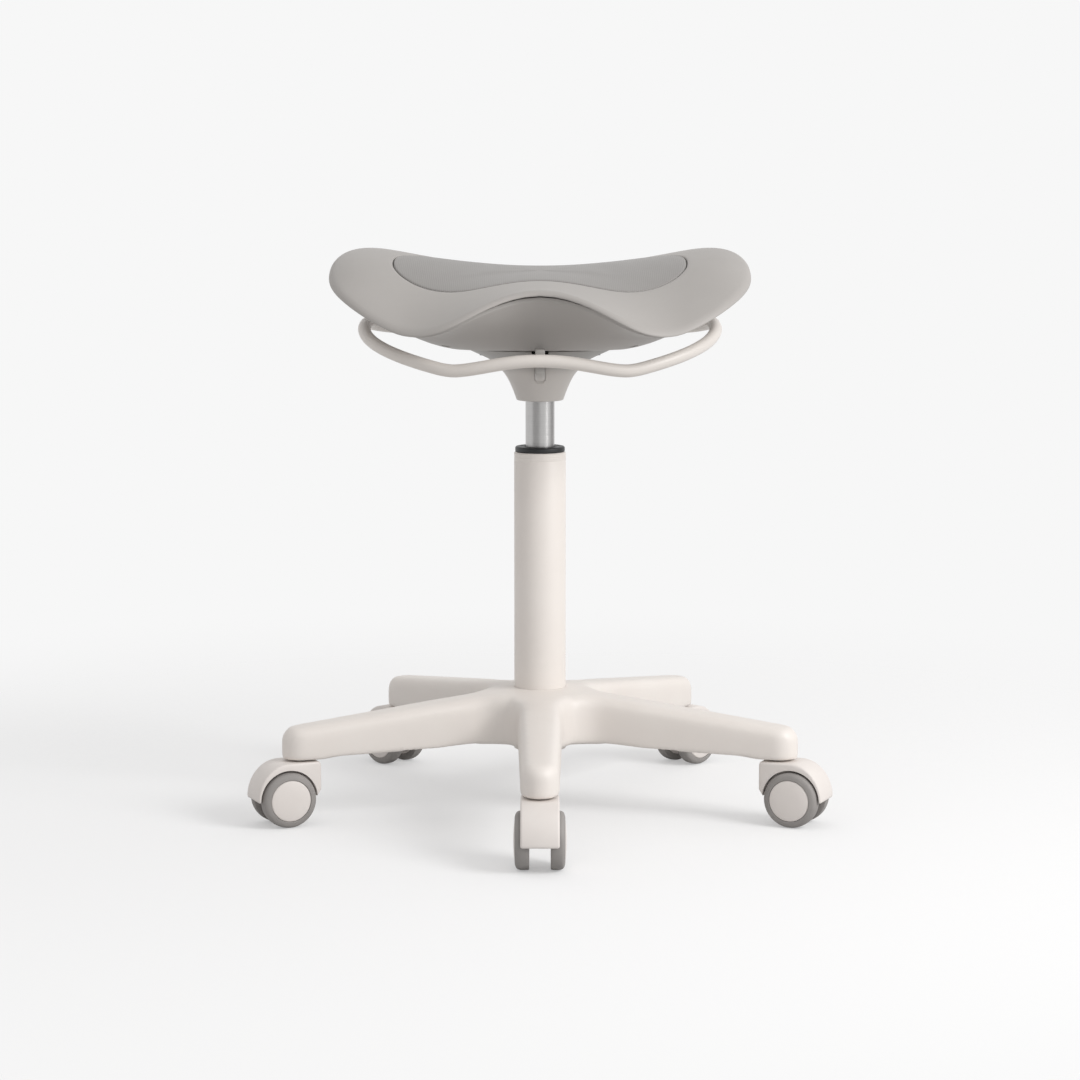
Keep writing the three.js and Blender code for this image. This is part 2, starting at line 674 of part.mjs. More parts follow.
function shellSolid() {
  const edgeShares = [0.3, 0.55, 0.72, 0.86, 0.955, 0.985, 1];
  const rounded = (share, by) => (share === 1 ? by : 0);
  const body = slab(seatPlan, (x, y, share) => saddle(x, y) - rounded(share, shellEdgeRounding),
    (x, y, share) => shellUnderside(x, y) + rounded(share, shellEdgeRounding), edgeShares, 48);
  const recess = slab(padPlan, (x, y) => saddle(x, y) + overrun, (x, y) => saddle(x, y) - recessDepth,
    padShares, padSides);
  const foot = (p) => panBossTopZ(p) + gap;
  const bosses = panScrews.map((p) => upright(bossRadius, foot(p), shellUnderside(p.x, p.y) + shellRim / 2, p));
  const bores = panScrews.map((p) => upright(screwRadius + gap, foot(p) - overrun, foot(p) + screwBite, p));
  return cut(join(cut(body, recess), ...bosses), ...bores);
}

function padSolid() {
  const plan = inset(padPlan, padGroove);
  const crowned = (x, y, share) => saddle(x, y) + padCrown * (1 - share ** 4)
    - padEdgeDrop * smooth((share - 0.9) / 0.1);
  return slab(plan, crowned, (x, y) => saddle(x, y) - recessDepth + padBedding, padShares, padSides);
}

// Everything above the underpan's outside, to trim what meets it from below
const abovePan = () => slab(panPlan, () => 2 * crestZ, (x, y) => belly(x, y) - gap, panShares, panSides);

function supportSolid() {
  const flare = flareShares.map(([out, up]) => [flareRadius * out, supportFootZ + flareHeight * up]);
  const outer = solid(turned([
    [0, supportFootZ], [supportFootRadius - supportFootRounding, supportFootZ],
    [supportFootRadius, supportFootZ + supportFootRounding], ...flare,
    [flareRadius, supportFootZ + flareHeight], [0, supportFootZ + flareHeight],
  ], 30));
  const socket = solid(turned([
    [0, supportFootZ - overrun], [tubeRadius + gap, supportFootZ - overrun], [tubeRadius + gap, taperFootZ],
    [taperTopRadius + gap, tubeTopZ], [taperTopRadius + gap, tubeTopZ + overrun], [0, tubeTopZ + overrun],
  ], 20));
  const pocketFootZ = tubeTopZ - pinHeadHeight;
  const pocket = solid(rod(mechanismRadius, pocketFootZ, crestZ, 20));
  const slotHalf = armThickness / 2 + slotClearance;
  const slot = solid(block(new THREE.Vector3(-slotHalf, -flareRadius - overrun, slotFootZ),
    new THREE.Vector3(slotHalf, -mechanismRadius + 2 * slotClearance, crestZ)));
  const mouth = solid(block(new THREE.Vector3(-slotMouthHalfWidth, -flareRadius - overrun, slotMouthZ),
    new THREE.Vector3(slotMouthHalfWidth, -pivotY - pivotBossRadius, crestZ)));
  const pivotBore = solid(crossRod(pivotRadius + gap, pivotHalfLength + overrun * 2));
  const screwBores = flangeScrews.flatMap((p) => [
    upright(screwRadius + gap, supportFootZ, crestZ, p),
    upright(screwHeadRadius + gap, supportFootZ, flangeSeatZ, p),
  ]);
  return cut(outer, abovePan(), socket, pocket, slot, mouth, pivotBore, ...screwBores);
}

// A rod across the stool, on the lever's pivot
function crossRod(radius, halfLength) {
  return rod(radius, -halfLength, halfLength, 14).rotateY(quarterTurn).translate(0, -pivotY, pivotZ);
}

// A straight climb from 0 to 1 with its two ends rounded
function ramp(t) {
  const bend = (v) => {
    if (v <= -ringBend) return 0;
    return v >= ringBend ? v : (v + ringBend) ** 2 / (4 * ringBend);
  };
  return bend(t) - bend(t - 1);
}

// The ring lever's middle line: low under the two thigh lobes, humped between them, high behind
class RingLine extends THREE.Curve {
  getPoint(t, target = new THREE.Vector3()) {
    const turn = 2 * Math.PI * t;
    const [c, s] = [Math.cos(turn), Math.sin(turn)];
    const reach = c > 0 ? ringFrontY + seatCentreY : ringRearY - seatCentreY;
    const x = ringHalfWidth * Math.sign(s) * Math.abs(s) ** (2 / planPower);
    const y = seatCentreY - reach * Math.sign(c) * Math.abs(c) ** (2 / planPower);
    const fromFront = Math.abs(THREE.MathUtils.radToDeg(Math.atan2(s, c)));
    const rise = ramp((fromFront - ringRiseStart) / (ringRiseEnd - ringRiseStart));
    const hump = 1 - smooth(fromFront / ringHumpSpan);
    const drop = smooth((fromFront - ringDropStart) / (ringDropEnd - ringDropStart));
    const z = THREE.MathUtils.lerp(ringLowZ, ringHighZ, rise) + ringHump * hump - ringRearDrop * drop;
    return target.set(x, y, z);
  }
}

const ringGeometry = (radius) => new THREE.TubeGeometry(new RingLine(), ringSteps, radius, ringSides, true);
const ringFrontZ = ringLowZ + ringHump;

// The lever arm: a plate from the ring, over the pivot and onto the release pin
function leverArmSolid() {
  const padZ = pinTopZ + gap;
  const plateY = -ringFrontY + armHold;
  const spineZ = padZ + armSpineTop;
  const bellyZ = pivotZ - armBellyDrop;
  const side = new THREE.Shape([
    [plateY, ringFrontZ + armPlateTop], [plateY + armPlateLength, ringFrontZ + armPlateTop],
    [plateY + 2.6 * armPlateLength, spineZ], [padEndY, spineZ], [padEndY, padZ],
    [-pivotY + pivotBossRadius * 1.6, padZ], [-pivotY + pivotBossRadius, pivotZ],
    [-pivotY, pivotZ - pivotBossRadius], [-pivotY - pivotBossRadius, bellyZ],
    [-pivotY - armBellyLength, bellyZ], [plateY + armPlateLength, ringFrontZ - armPlateFoot * 1.4],
    [plateY, ringFrontZ - armPlateFoot],
  ].map(([y, z]) => new THREE.Vector2(y, z)));
  const plate = new THREE.ExtrudeGeometry(side, { depth: armThickness, bevelEnabled: false });
  plate.rotateY(quarterTurn).rotateX(quarterTurn).translate(-armThickness / 2, 0, 0);
  return cut(solid(plate), solid(crossRod(pivotRadius + gap, armThickness)),
    solid(ringGeometry(ringTubeRadius + gap * 2)));
}

// Finishes
const finishes = {
  paint: { color: 0xe4dfda, roughness: 0.5, metalness: 0 },
  support: { color: 0xc9c4bf, roughness: 0.5, metalness: 0 },
  seat: { color: 0xaaa5a1, roughness: 0.55, metalness: 0 },
  fabric: { color: 0x9f9c97, roughness: 0.9, metalness: 0 },
  bushBlack: { color: 0x1c1d1f, roughness: 0.6, metalness: 0 },
  brightSteel: { color: 0xb9b9bb, roughness: 0.3, metalness: 1 },
  darkSteel: { color: 0x6f7072, roughness: 0.4, metalness: 1 },
  tyre: { color: 0x96928f, roughness: 0.7, metalness: 0 },
};
const materials = Object.fromEntries(
  Object.entries(finishes).map(([name, values]) => [name, new THREE.MeshStandardMaterial(values)]));

function piece(parent, name, geometry, material) {
  const mesh = new THREE.Mesh(geometry, materials[material]);
  mesh.name = name;
  parent.add(mesh);
  return mesh;
}

const stool = new THREE.Group();

// Base and casters. Arms are numbered from the front one, turning to the stool's right (+X). At rest
// the side casters have swung a little further round than their arms.
const firstArmTurn = -quarterTurn;
const casterToeDegrees = [0, -7, -8, 8, 7];

const base = piece(stool, 'five_star_base', geometryOf(baseSolid()), 'paint');
base.rotation.z = firstArmTurn;

const casterGeometry = {
  stem: geometryOf(stemSolid()),
  hood: geometryOf(hoodSolid()),
  axle: geometryOf(axleSolid()),
  core: geometryOf(coreSolid()),
  tyre: geometryOf(tyreSolid()),
};

casterToeDegrees.forEach((toe, k) => {
  const turn = firstArmTurn + 2 * halfStep * k;
  const caster = new THREE.Group();
  caster.position.set(casterReach * Math.cos(turn), casterReach * Math.sin(turn), 0);
  caster.rotation.z = turn + THREE.MathUtils.degToRad(toe);
  stool.add(caster);
  const name = `caster_${k + 1}`;
  piece(caster, `${name}_stem`, casterGeometry.stem, 'darkSteel');
  piece(caster, `${name}_hood`, casterGeometry.hood, 'paint');
  piece(caster, `${name}_axle`, casterGeometry.axle, 'darkSteel');
  for (const [side, way] of [['a', 1], ['b', -1]]) {
    const wheel = new THREE.Group();
    wheel.position.set(casterTrail, 0, axleZ);
    wheel.rotation.x = way * quarterTurn;
    caster.add(wheel);
    piece(wheel, `${name}_core_${side}`, casterGeometry.core, 'paint');
    piece(wheel, `${name}_tyre_${side}`, casterGeometry.tyre, 'tyre');
  }
});

// Column
piece(stool, 'stand_tube', geometryOf(standTubeSolid()), 'paint');
piece(stool, 'guide_bush', geometryOf(bushSolid()), 'bushBlack');
piece(stool, 'foot_disc',
  geometryOf(ringOf(rodRadius + gap, columnFootRadius - columnWall - gap, discFootZ, discTopZ, 30)), 'darkSteel');
piece(stool, 'thrust_bearing',
  geometryOf(ringOf(rodRadius + gap, bearingRadius, discTopZ + gap, bearingTopZ, 20)), 'darkSteel');
piece(stool, 'piston_rod', geometryOf(rodSolid()), 'brightSteel');
piece(stool, 'retaining_clip', geometryOf(ringOf(rodRadius - clipGroove + gap, clipRadius,
  discFootZ - gap - clipThickness, discFootZ - gap, 16)), 'darkSteel');
piece(stool, 'pressure_tube', geometryOf(pressureTubeSolid()), 'brightSteel');
piece(stool, 'release_pin', geometryOf(pinSolid()), 'darkSteel');

// Seat
piece(stool, 'seat_support', geometryOf(supportSolid()), 'support');
piece(stool, 'seat_underpan', geometryOf(panSolid()), 'seat');
piece(stool, 'seat_shell', geometryOf(shellSolid()), 'seat');
piece(stool, 'seat_pad', geometryOf(padSolid()), 'fabric');

const flangeScrewGeometry = geometryOf(screwSolid(flangeSeatZ, screwGrip + screwBite));
flangeScrews.forEach(({ x, y }, k) => {
  piece(stool, `support_screw_${k + 1}`, flangeScrewGeometry, 'darkSteel').position.set(x, y, 0);
});
const panScrewGeometry = geometryOf(screwSolid(0, screwGrip + screwBite));
panScrews.forEach((place, k) => {
  const screw = piece(stool, `underpan_screw_${k + 1}`, panScrewGeometry, 'darkSteel');
  screw.position.set(place.x, place.y, panBearingZ(place));
});

// Height release
piece(stool, 'ring_lever', geometryOf(solid(ringGeometry(ringTubeRadius))), 'support');
piece(stool, 'lever_arm', geometryOf(leverArmSolid()), 'support');
piece(stool, 'pivot_pin', geometryOf(solid(crossRod(pivotRadius, pivotHalfLength))), 'darkSteel');

// The origin is on the floor, at the middle of the stool's bounding box
const bounds = new THREE.Box3().setFromObject(stool);
stool.position.y = -(bounds.min.y + bounds.max.y) / 2;

export default stool;
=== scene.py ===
# %% [markdown]
# # A perch stool
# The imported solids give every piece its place. This notebook dresses them: each piece that shows is
# modelled again with its real roundings, and each finish is built from nodes. +Z is up, and the
# floor is at zero.

# %% Load the frame
import math

import bpy
from mathutils import Matrix, Vector


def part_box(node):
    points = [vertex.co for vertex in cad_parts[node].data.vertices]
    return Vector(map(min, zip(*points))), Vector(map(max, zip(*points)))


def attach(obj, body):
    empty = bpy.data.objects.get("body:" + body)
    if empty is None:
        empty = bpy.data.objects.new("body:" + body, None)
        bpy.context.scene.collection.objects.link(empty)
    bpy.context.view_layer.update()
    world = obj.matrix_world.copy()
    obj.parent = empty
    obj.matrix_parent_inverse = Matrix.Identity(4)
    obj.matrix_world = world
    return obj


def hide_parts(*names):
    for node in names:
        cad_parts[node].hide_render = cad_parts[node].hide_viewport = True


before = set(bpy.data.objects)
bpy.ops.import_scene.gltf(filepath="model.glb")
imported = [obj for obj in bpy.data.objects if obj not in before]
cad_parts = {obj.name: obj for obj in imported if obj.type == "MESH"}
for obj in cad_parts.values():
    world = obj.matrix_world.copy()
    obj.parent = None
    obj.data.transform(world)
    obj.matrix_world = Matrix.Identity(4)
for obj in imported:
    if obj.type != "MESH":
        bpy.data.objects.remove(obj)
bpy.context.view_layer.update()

# %% [markdown]
# ## Where things stand
# The column isn't at the origin, because the origin is the middle of the whole stool's footprint.
# Its place is read from the stand tube, and every piece is first shaped about the column's axis in
# millimetres. One matrix then brings a mesh to its place in metres.

# %% Units and the column's axis
MM = 0.001
low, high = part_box("stand_tube")
COLUMN_Y = (low.y + high.y) / 2
TO_PLACE = Matrix.Translation((0, COLUMN_Y, 0)) @ Matrix.Scale(MM, 4)
print("column axis at y =", round(COLUMN_Y / MM, 2), "mm")

# %% [markdown]
# ## The camera
# The photograph was taken with a long lens from in front, a little above the seat. The lens and the
# place come from the sizes of the tube, the hub and the wheels in the picture.

# %% Camera
LENS, SENSOR = 95.26, 36
AWAY, UP, TILT = 2.750, 0.6253, 0.13118
bpy.ops.object.camera_add(location=(0, COLUMN_Y - AWAY, UP), rotation=(math.pi / 2 - TILT, 0, 0))
camera = bpy.context.object
camera.name = "camera"
camera.data.lens, camera.data.sensor_width = LENS, SENSOR
bpy.context.scene.camera = camera
print("camera is", AWAY, "m in front of the column")

# %% [markdown]
# ## Colours and nodes
# Colours are written as hex values, as on a screen, and Blender works in linear light, so one
# function turns one into the other. The others add nodes and start a material.

# %% Helpers for nodes
def linear(code):
    """A hex colour as linear red, green, blue and alpha, by the sRGB curve."""
    parts = [int(code[i:i + 2], 16) / 255 for i in (1, 3, 5)]
    return [c / 12.92 if c <= 0.04045 else ((c + 0.055) / 1.055) ** 2.4 for c in parts] + [1]


def add(tree, kind, inputs=None, **settings):
    """Adds a node, sets its properties, and sets or links its inputs."""
    node = tree.nodes.new(kind)
    for name, value in settings.items():
        setattr(node, name, value)
    for name, value in (inputs or {}).items():
        if isinstance(value, bpy.types.NodeSocket):
            tree.links.new(value, node.inputs[name])
        else:
            node.inputs[name].default_value = value
    return node


def new_material(name):
    """An empty material and its node tree."""
    material = bpy.data.materials.new(name)
    material.use_nodes = True
    material.node_tree.nodes.clear()
    return material, material.node_tree


def on_piece(tree):
    """Texture coordinates in metres that stay with the piece."""
    return add(tree, "ShaderNodeTexCoord").outputs["Object"]


print("node helpers ready")

# %% [markdown]
# ## What the finishes share
# Every finish is uneven in the same ways: its colour drifts between two close tones, and a fine
# texture raises its surface and varies its gloss. A texture's size is that of the real marks.

# %% Helpers for finishes
def noise(tree, place, size_mm, detail, **more):
    """A noise texture whose patches have a real size."""
    return add(tree, "ShaderNodeTexNoise", {"Vector": place, "Scale": 1000 / size_mm,
                                            "Detail": detail, **more}).outputs["Fac"]


def mottled(tree, place, size_mm, dark, light):
    """A colour that drifts between two close tones in patches of a real size."""
    ramp = add(tree, "ShaderNodeValToRGB", {"Fac": noise(tree, place, size_mm, 4.0)})
    for element, position, tone in zip(ramp.color_ramp.elements, (0.25, 0.75), (dark, light)):
        element.position, element.color = position, linear(tone)
    return ramp.outputs["Color"]


def mixed(tree, share, first, second):
    """Two colours, mixed by a share from 0 to 1."""
    return add(tree, "ShaderNodeMix", {0: share, 6: first, 7: second}, data_type="RGBA").outputs[2]


def between(tree, value, lowest, highest):
    """A 0 to 1 value spread between two limits."""
    return add(tree, "ShaderNodeMapRange",
               {"Value": value, "To Min": lowest, "To Max": highest}).outputs["Result"]


def ramped(tree, value, start, end):
    """A value's soft climb from 0 to 1 between a start and an end."""
    return add(tree, "ShaderNodeMapRange", {"Value": value, "From Min": start, "From Max": end},
               interpolation_type="SMOOTHSTEP").outputs["Result"]


def bumped(tree, height, strength, depth_mm):
    """The normal of a surface that a texture raises by a depth."""
    return add(tree, "ShaderNodeBump", {"Height": height, "Strength": strength,
                                        "Distance": depth_mm * MM}).outputs["Normal"]


def principled(tree, inputs):
    """The Principled shader, linked to the material's output."""
    shader = add(tree, "ShaderNodeBsdfPrincipled", inputs)
    add(tree, "ShaderNodeOutputMaterial", {"Surface": shader.outputs["BSDF"]})


print("finish helpers ready")

# %% [markdown]
# ## Powder coat
# The base, the stand tube, the seat support and the ring lever are powder coated: dry paint melted
# on in an oven. It flows into a faint orange peel about a millimetre and a half across, which the
# eye reads as a soft, even sheen. Its gloss is that of a polymer, so the IOR is 1.5. The support's
# paint has painted shade on its flare: above a height its colour darkens to the pan's tone, standing
# for the shade that falls under the seat, so the two meet without a step. The lever blade shares it.

# %% Powder coat
PAINT_PATCH, PEEL, SPECK = 60, 1.5, 25
# Heights in mm over which the painted shade on the support's flare comes in.
PAINTED_SHADE_FROM, PAINTED_SHADE_TO = 424, 439


def powder_coat(name, dark, light, roughness, painted_shade=None):
    """Paint in one colour, or with painted shade darkening it above a height, towards the flare's
    rim.
    """
    material, tree = new_material(name)
    place = on_piece(tree)
    colour = mottled(tree, place, PAINT_PATCH, dark, light)
    # Painted shade: above this height the paint darkens to a grey that stands for the shade under the
    # seat.
    if painted_shade:
        height = add(tree, "ShaderNodeSeparateXYZ", {"Vector": place}).outputs["Z"]
        colour = mixed(tree, ramped(tree, height, PAINTED_SHADE_FROM * MM, PAINTED_SHADE_TO * MM), colour,
                       mottled(tree, place, PAINT_PATCH, *painted_shade))
    principled(tree, {
        "Base Color": colour, "IOR": 1.5,
        "Normal": bumped(tree, noise(tree, place, PEEL, 2.0), 0.12, 0.1),
        "Roughness": between(tree, noise(tree, place, SPECK, 3.0), roughness - 0.04,
                             roughness + 0.04)})
    return material


warm_white = powder_coat("powder_coat_warm_white", "#E3DCD6", "#E7E1DB", 0.46)
pearl_white = powder_coat("powder_coat_pearl_white", "#D6D0CA", "#DBD5CF", 0.42)
# The support's paint: light grey, with painted shade that darkens its flare to the pan's tone.
grey_with_painted_shade = powder_coat("powder_coat_shaded_grey", "#C6C1BC", "#CAC5C0", 0.42,
                          painted_shade=("#94918D", "#999692"))
print("powder coats:", warm_white.name, pearl_white.name, grey_with_painted_shade.name)

# %% [markdown]
# ## Moulded nylon
# The caster hoods, the wheel cores and the black bush are injection-moulded nylon. The steel mould
# is spark-eroded, which leaves a fine even grain, about 0.4 mm; here it is drawn at 0.8 mm so that
# it just shows close up. Nylon's IOR is 1.53 and its grain keeps it matt.

# %% Moulded nylon
NYLON_PATCH, NYLON_GRAIN = 35, 0.8


def moulded_nylon(name, dark, light, roughness):
    material, tree = new_material(name)
    place = on_piece(tree)
    grain = noise(tree, place, NYLON_GRAIN, 2.0)
    principled(tree, {
        "Base Color": mottled(tree, place, NYLON_PATCH, dark, light), "IOR": 1.53,
        "Normal": bumped(tree, grain, 0.1, 0.08),
        "Roughness": between(tree, grain, roughness - 0.03, roughness + 0.05)})
    return material


white_nylon = moulded_nylon("nylon_warm_white", "#DFD8D3", "#E4DED9", 0.5)
black_nylon = moulded_nylon("nylon_black", "#151618", "#1C1D1F", 0.42)
print("nylons:", white_nylon.name, black_nylon.name)

# %% [markdown]
# ## Polyurethane tread
# The tyres are soft grey polyurethane, cast onto the cores. It is matt, slightly scuffed where it
# rolls, and it picks up fine dust, which shows as a broad, uneven lightening.

# %% Polyurethane tread
TREAD_PATCH, SCUFF = 18, 3
tread, tree = new_material("polyurethane_tread")
place = on_piece(tree)
scuff = noise(tree, place, SCUFF, 5.0, Roughness=0.65)
principled(tree, {
    "Base Color": mottled(tree, place, TREAD_PATCH, "#8F8B88", "#9A9693"), "IOR": 1.5,
    "Normal": bumped(tree, scuff, 0.15, 0.12), "Roughness": between(tree, scuff, 0.58, 0.74)})
print("tread:", tread.name)

# %% [markdown]
# ## Soft-touch polyurethane
# The seat shell and the pan under it are moulded with a soft matt skin. Its grain is like very fine
# leather, 0.9 mm across, and a little sheen in the shader makes it velvety at grazing angles.

# %% Soft-touch skin
SKIN_PATCH, LEATHER_GRAIN, SKIN_DRIFT = 90, 0.9, 14
seat_skin, tree = new_material("soft_touch_polyurethane")
place = on_piece(tree)
cells = add(tree, "ShaderNodeTexVoronoi", {"Vector": place, "Scale": 1000 / LEATHER_GRAIN},
            feature="SMOOTH_F1")
principled(tree, {
    "Base Color": mottled(tree, place, SKIN_PATCH, "#A6A29E", "#ABA7A3"), "IOR": 1.48,
    "Normal": bumped(tree, cells.outputs["Distance"], 0.12, 0.08),
    "Sheen Weight": 0.12, "Sheen Roughness": 0.4,
    "Roughness": between(tree, noise(tree, place, SKIN_DRIFT, 4.0), 0.52, 0.62)})
print("seat skin:", seat_skin.name)

# %% [markdown]
# ## Woven cover
# The inset pad has a fine plain-weave cover, in polyester. Its real threads lie about 0.8 mm apart,
# too fine for the picture, so they are drawn 1.8 mm apart, where they just show. The pattern
# follows the pad's own UV map, so the threads bend with the cloth. Two crossed waves make the over
# and under of warp and weft, a little distorted because yarn is never even. A wave texture repeats
# every pi/10 of its own units, which its scale allows for.

# %% Woven cover
COVER_PATCH, THREAD_PITCH = 22, 1.8
THREADS_MAP = "cloth"
cover, tree = new_material("woven_polyester_cover")
cloth = add(tree, "ShaderNodeUVMap", uv_map=THREADS_MAP).outputs["UV"]
threads = math.pi / 10 / (THREAD_PITCH * MM)
warp, weft = [add(tree, "ShaderNodeTexWave", {"Vector": cloth, "Scale": threads, "Distortion": 2.5,
                                              "Detail": 2.0, "Detail Scale": 0.5},
                  bands_direction=way) for way in ("X", "Y")]
crossing = add(tree, "ShaderNodeMath", {0: warp.outputs["Fac"], 1: weft.outputs["Fac"]},
               operation="MULTIPLY").outputs["Value"]
tone = mottled(tree, on_piece(tree), COVER_PATCH, "#9A9795", "#A3A09D")
principled(tree, {
    "Base Color": mixed(tree, crossing, linear("#8A8784"), tone), "IOR": 1.5,
    "Normal": bumped(tree, crossing, 0.35, 0.2), "Sheen Weight": 0.25, "Sheen Roughness": 0.5,
    "Roughness": between(tree, crossing, 0.78, 0.9)})
print("cover:", cover.name)

# %% [markdown]
# ## Steels
# The pressure tube is ground and hard-chromed. Grinding leaves hair-fine lines round the tube, so
# the noise is stretched: long round the axis, 0.3 mm apart along it. The small hidden parts are
# zinc-plated steel, duller and faintly clouded.

# %% Steels
STEEL_PATCH, GRIND_LENGTH = 30, 12


def steel(name, dark, light, roughness, lines):
    """Metal with marks that lie so many times closer along the axis."""
    material, tree = new_material(name)
    place = add(tree, "ShaderNodeMapping", {
        "Vector": on_piece(tree), "Scale": (1, 1, lines)}).outputs["Vector"]
    grind = noise(tree, place, GRIND_LENGTH, 3.0)
    principled(tree, {
        "Base Color": mottled(tree, place, STEEL_PATCH, dark, light), "Metallic": 1.0,
        "Normal": bumped(tree, grind, 0.06, 0.03),
        "Roughness": between(tree, grind, roughness - 0.04, roughness + 0.05)})
    return material


chromed_steel = steel("ground_chromed_steel", "#B5B4B3", "#BDBCBB", 0.31, lines=40)
zinc_steel = steel("zinc_plated_steel", "#8C8D8F", "#9B9C9E", 0.4, lines=1)
print("steels:", chromed_steel.name, zinc_steel.name)

# %% [markdown]
# ## Modelling helpers
# Operators act on whatever is selected, and loading the frame left the solids selected. So
# everything is deselected before each primitive is added, and a piece is always picked on its own.

# %% Picking, editing and modifiers
WELD = 0.001


def nothing_selected():
    bpy.ops.object.select_all(action="DESELECT")


def new(primitive, name, **settings):
    """Adds a primitive or a lamp with nothing else selected."""
    nothing_selected()
    primitive(**settings)
    bpy.context.object.name = name
    return bpy.context.object


def pick(piece):
    nothing_selected()
    piece.select_set(True)
    bpy.context.view_layer.objects.active = piece


def edit(operator, **settings):
    """Runs an edit mode operator on the whole mesh of the active piece."""
    bpy.ops.object.mode_set(mode="EDIT")
    bpy.ops.mesh.select_all(action="SELECT")
    operator(**settings)
    bpy.ops.object.mode_set(mode="OBJECT")


def face_outwards(piece):
    """Welds points that coincide and turns every face outwards."""
    pick(piece)
    edit(bpy.ops.mesh.remove_doubles, threshold=WELD)
    edit(bpy.ops.mesh.normals_make_consistent, inside=False)


def modify(piece, kind, **settings):
    """Adds a modifier and applies it at once."""
    pick(piece)
    modifier = piece.modifiers.new(kind.title(), kind)
    for name, value in settings.items():
        setattr(modifier, name, value)
    bpy.ops.object.modifier_apply(modifier=modifier.name)


def soften(piece, width, segments=3, over=50):
    """Rounds the edges that are sharper than an angle in degrees."""
    modify(piece, "BEVEL", width=width, segments=segments, limit_method="ANGLE",
           angle_limit=math.radians(over))


def cut(piece, cutter):
    """Takes a cutter's shape out of a piece, and the cutter away."""
    modify(piece, "BOOLEAN", object=cutter, operation="DIFFERENCE", solver="EXACT")
    bpy.data.objects.remove(cutter)


print("editing helpers ready")

# %% [markdown]
# A finished piece gets its place, its material and its smoothing. Then it is tied to the frame: it
# rides on a body and stands for one or more solids.

# %% Finishing a piece
dressed_nodes = set()


def settle(piece, material, smooth_degrees=40, place=TO_PLACE):
    """Brings a finished mesh to its place in metres, and gives it its material."""
    piece.data.transform(place @ piece.matrix_world)
    piece.matrix_world = Matrix.Identity(4)
    piece.data.materials.clear()
    piece.data.materials.append(material)
    pick(piece)
    bpy.ops.object.shade_smooth_by_angle(angle=math.radians(smooth_degrees))
    return piece


def stands_for(piece, body, slot, *nodes):
    """The piece rides on its body and is shown in place of the plain solids."""
    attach(piece, body)
    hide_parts(*nodes)
    dressed_nodes.update(nodes)
    print(piece.name, "for", ", ".join(nodes), "with", len(piece.data.polygons), "faces")


# %% [markdown]
# ## Ways to make a form
# A globe has a pole at each end and even rings between them. Pulling each ring to a section of its
# own makes any closed, smooth form: a shell, a pan or an arm. What is turned on a lathe is half a
# profile, drawn from a circle's points and spun about the column's axis. What is flat is an outline
# pushed out straight.

# %% Globes, spins and slabs
def globe(name, rings, segments, place):
    """A UV sphere with its rings moved to place(ring, turn). Rings 0 and rings + 1 are poles."""
    piece = new(bpy.ops.mesh.primitive_uv_sphere_add, name, segments=segments,
                ring_count=rings + 1, radius=1)
    for vertex in piece.data.vertices:
        polar = math.acos(max(-1, min(1, vertex.co.z)))
        ring = round(polar / math.pi * (rings + 1))
        vertex.co = place(ring, math.atan2(vertex.co.y, vertex.co.x))
    face_outwards(piece)
    return piece


def outlined(name, points, fill):
    """A circle whose points are moved to given places."""
    piece = new(bpy.ops.mesh.primitive_circle_add, name, vertices=len(points), radius=1,
                fill_type=fill)
    for vertex, point in zip(piece.data.vertices, points):
        vertex.co = point
    return piece


def spun(name, profile, steps=96):
    """A closed outline of (radius, height) points, turned about the column's axis."""
    piece = outlined(name, [(radius, 0, height) for radius, height in profile], "NOTHING")
    edit(bpy.ops.mesh.spin, steps=steps, angle=2 * math.pi, center=(0, 0, 0), axis=(0, 0, 1))
    face_outwards(piece)
    return piece


def slab(name, outline, along, start, end):
    """A straight bar along X or Y, whose section is an outline of (across, height) points."""
    if along == "X":
        points, way = [(start, across, height) for across, height in outline], (end - start, 0, 0)
    else:
        points, way = [(across, start, height) for across, height in outline], (0, end - start, 0)
    piece = outlined(name, points, "NGON")
    edit(bpy.ops.mesh.extrude_region_move, TRANSFORM_OT_translate={"value": way})
    face_outwards(piece)
    return piece


LYING = {"X": (0, math.pi / 2, 0), "Y": (math.pi / 2, 0, 0), "Z": (0, 0, 0)}


def drum(radius, start, end, at=(0, 0), along="Z", sides=48):
    """A plain cylinder for cutting holes, at two coordinates and along the third axis."""
    place = list(at)
    place.insert("XYZ".index(along), (start + end) / 2)
    return new(bpy.ops.mesh.primitive_cylinder_add, "drum", vertices=sides, radius=radius,
               depth=abs(end - start), location=place, rotation=LYING[along])


print("form helpers ready")

# %% [markdown]
# ## The saddle
# The seat is one moulding with two thigh lobes that droop at the front, a hump between them and
# raised wings at the sides. Its height is a smooth formula of the plan, the same one for the shell,
# the pad and the pan, so the three pieces follow each other exactly.

# %% Seat plan
POWER = 2.35
SEAT = {"half": 200, "front": 150, "rear": 135, "middle": -24, "notch": 30, "notch_half": 100}
PAD = {"half": 140.6, "front": 87, "rear": 84, "middle": -10.5, "notch": 22, "notch_half": 90}


def inset(plan, by):
    return {**plan, "half": plan["half"] - by, "front": plan["front"] - by,
            "rear": plan["rear"] - by}


def boxed(value):
    """A sine or cosine, pushed outwards so that a circle becomes a rounded box."""
    return math.copysign(abs(value) ** (2 / POWER), value)


def plan_depth(plan, x, ahead):
    """How far a plan reaches forwards or back from its middle."""
    if not ahead:
        return plan["rear"]
    near = math.cos(max(-1, min(1, x / plan["notch_half"])) * math.pi / 2)
    return plan["front"] - plan["notch"] * near * near


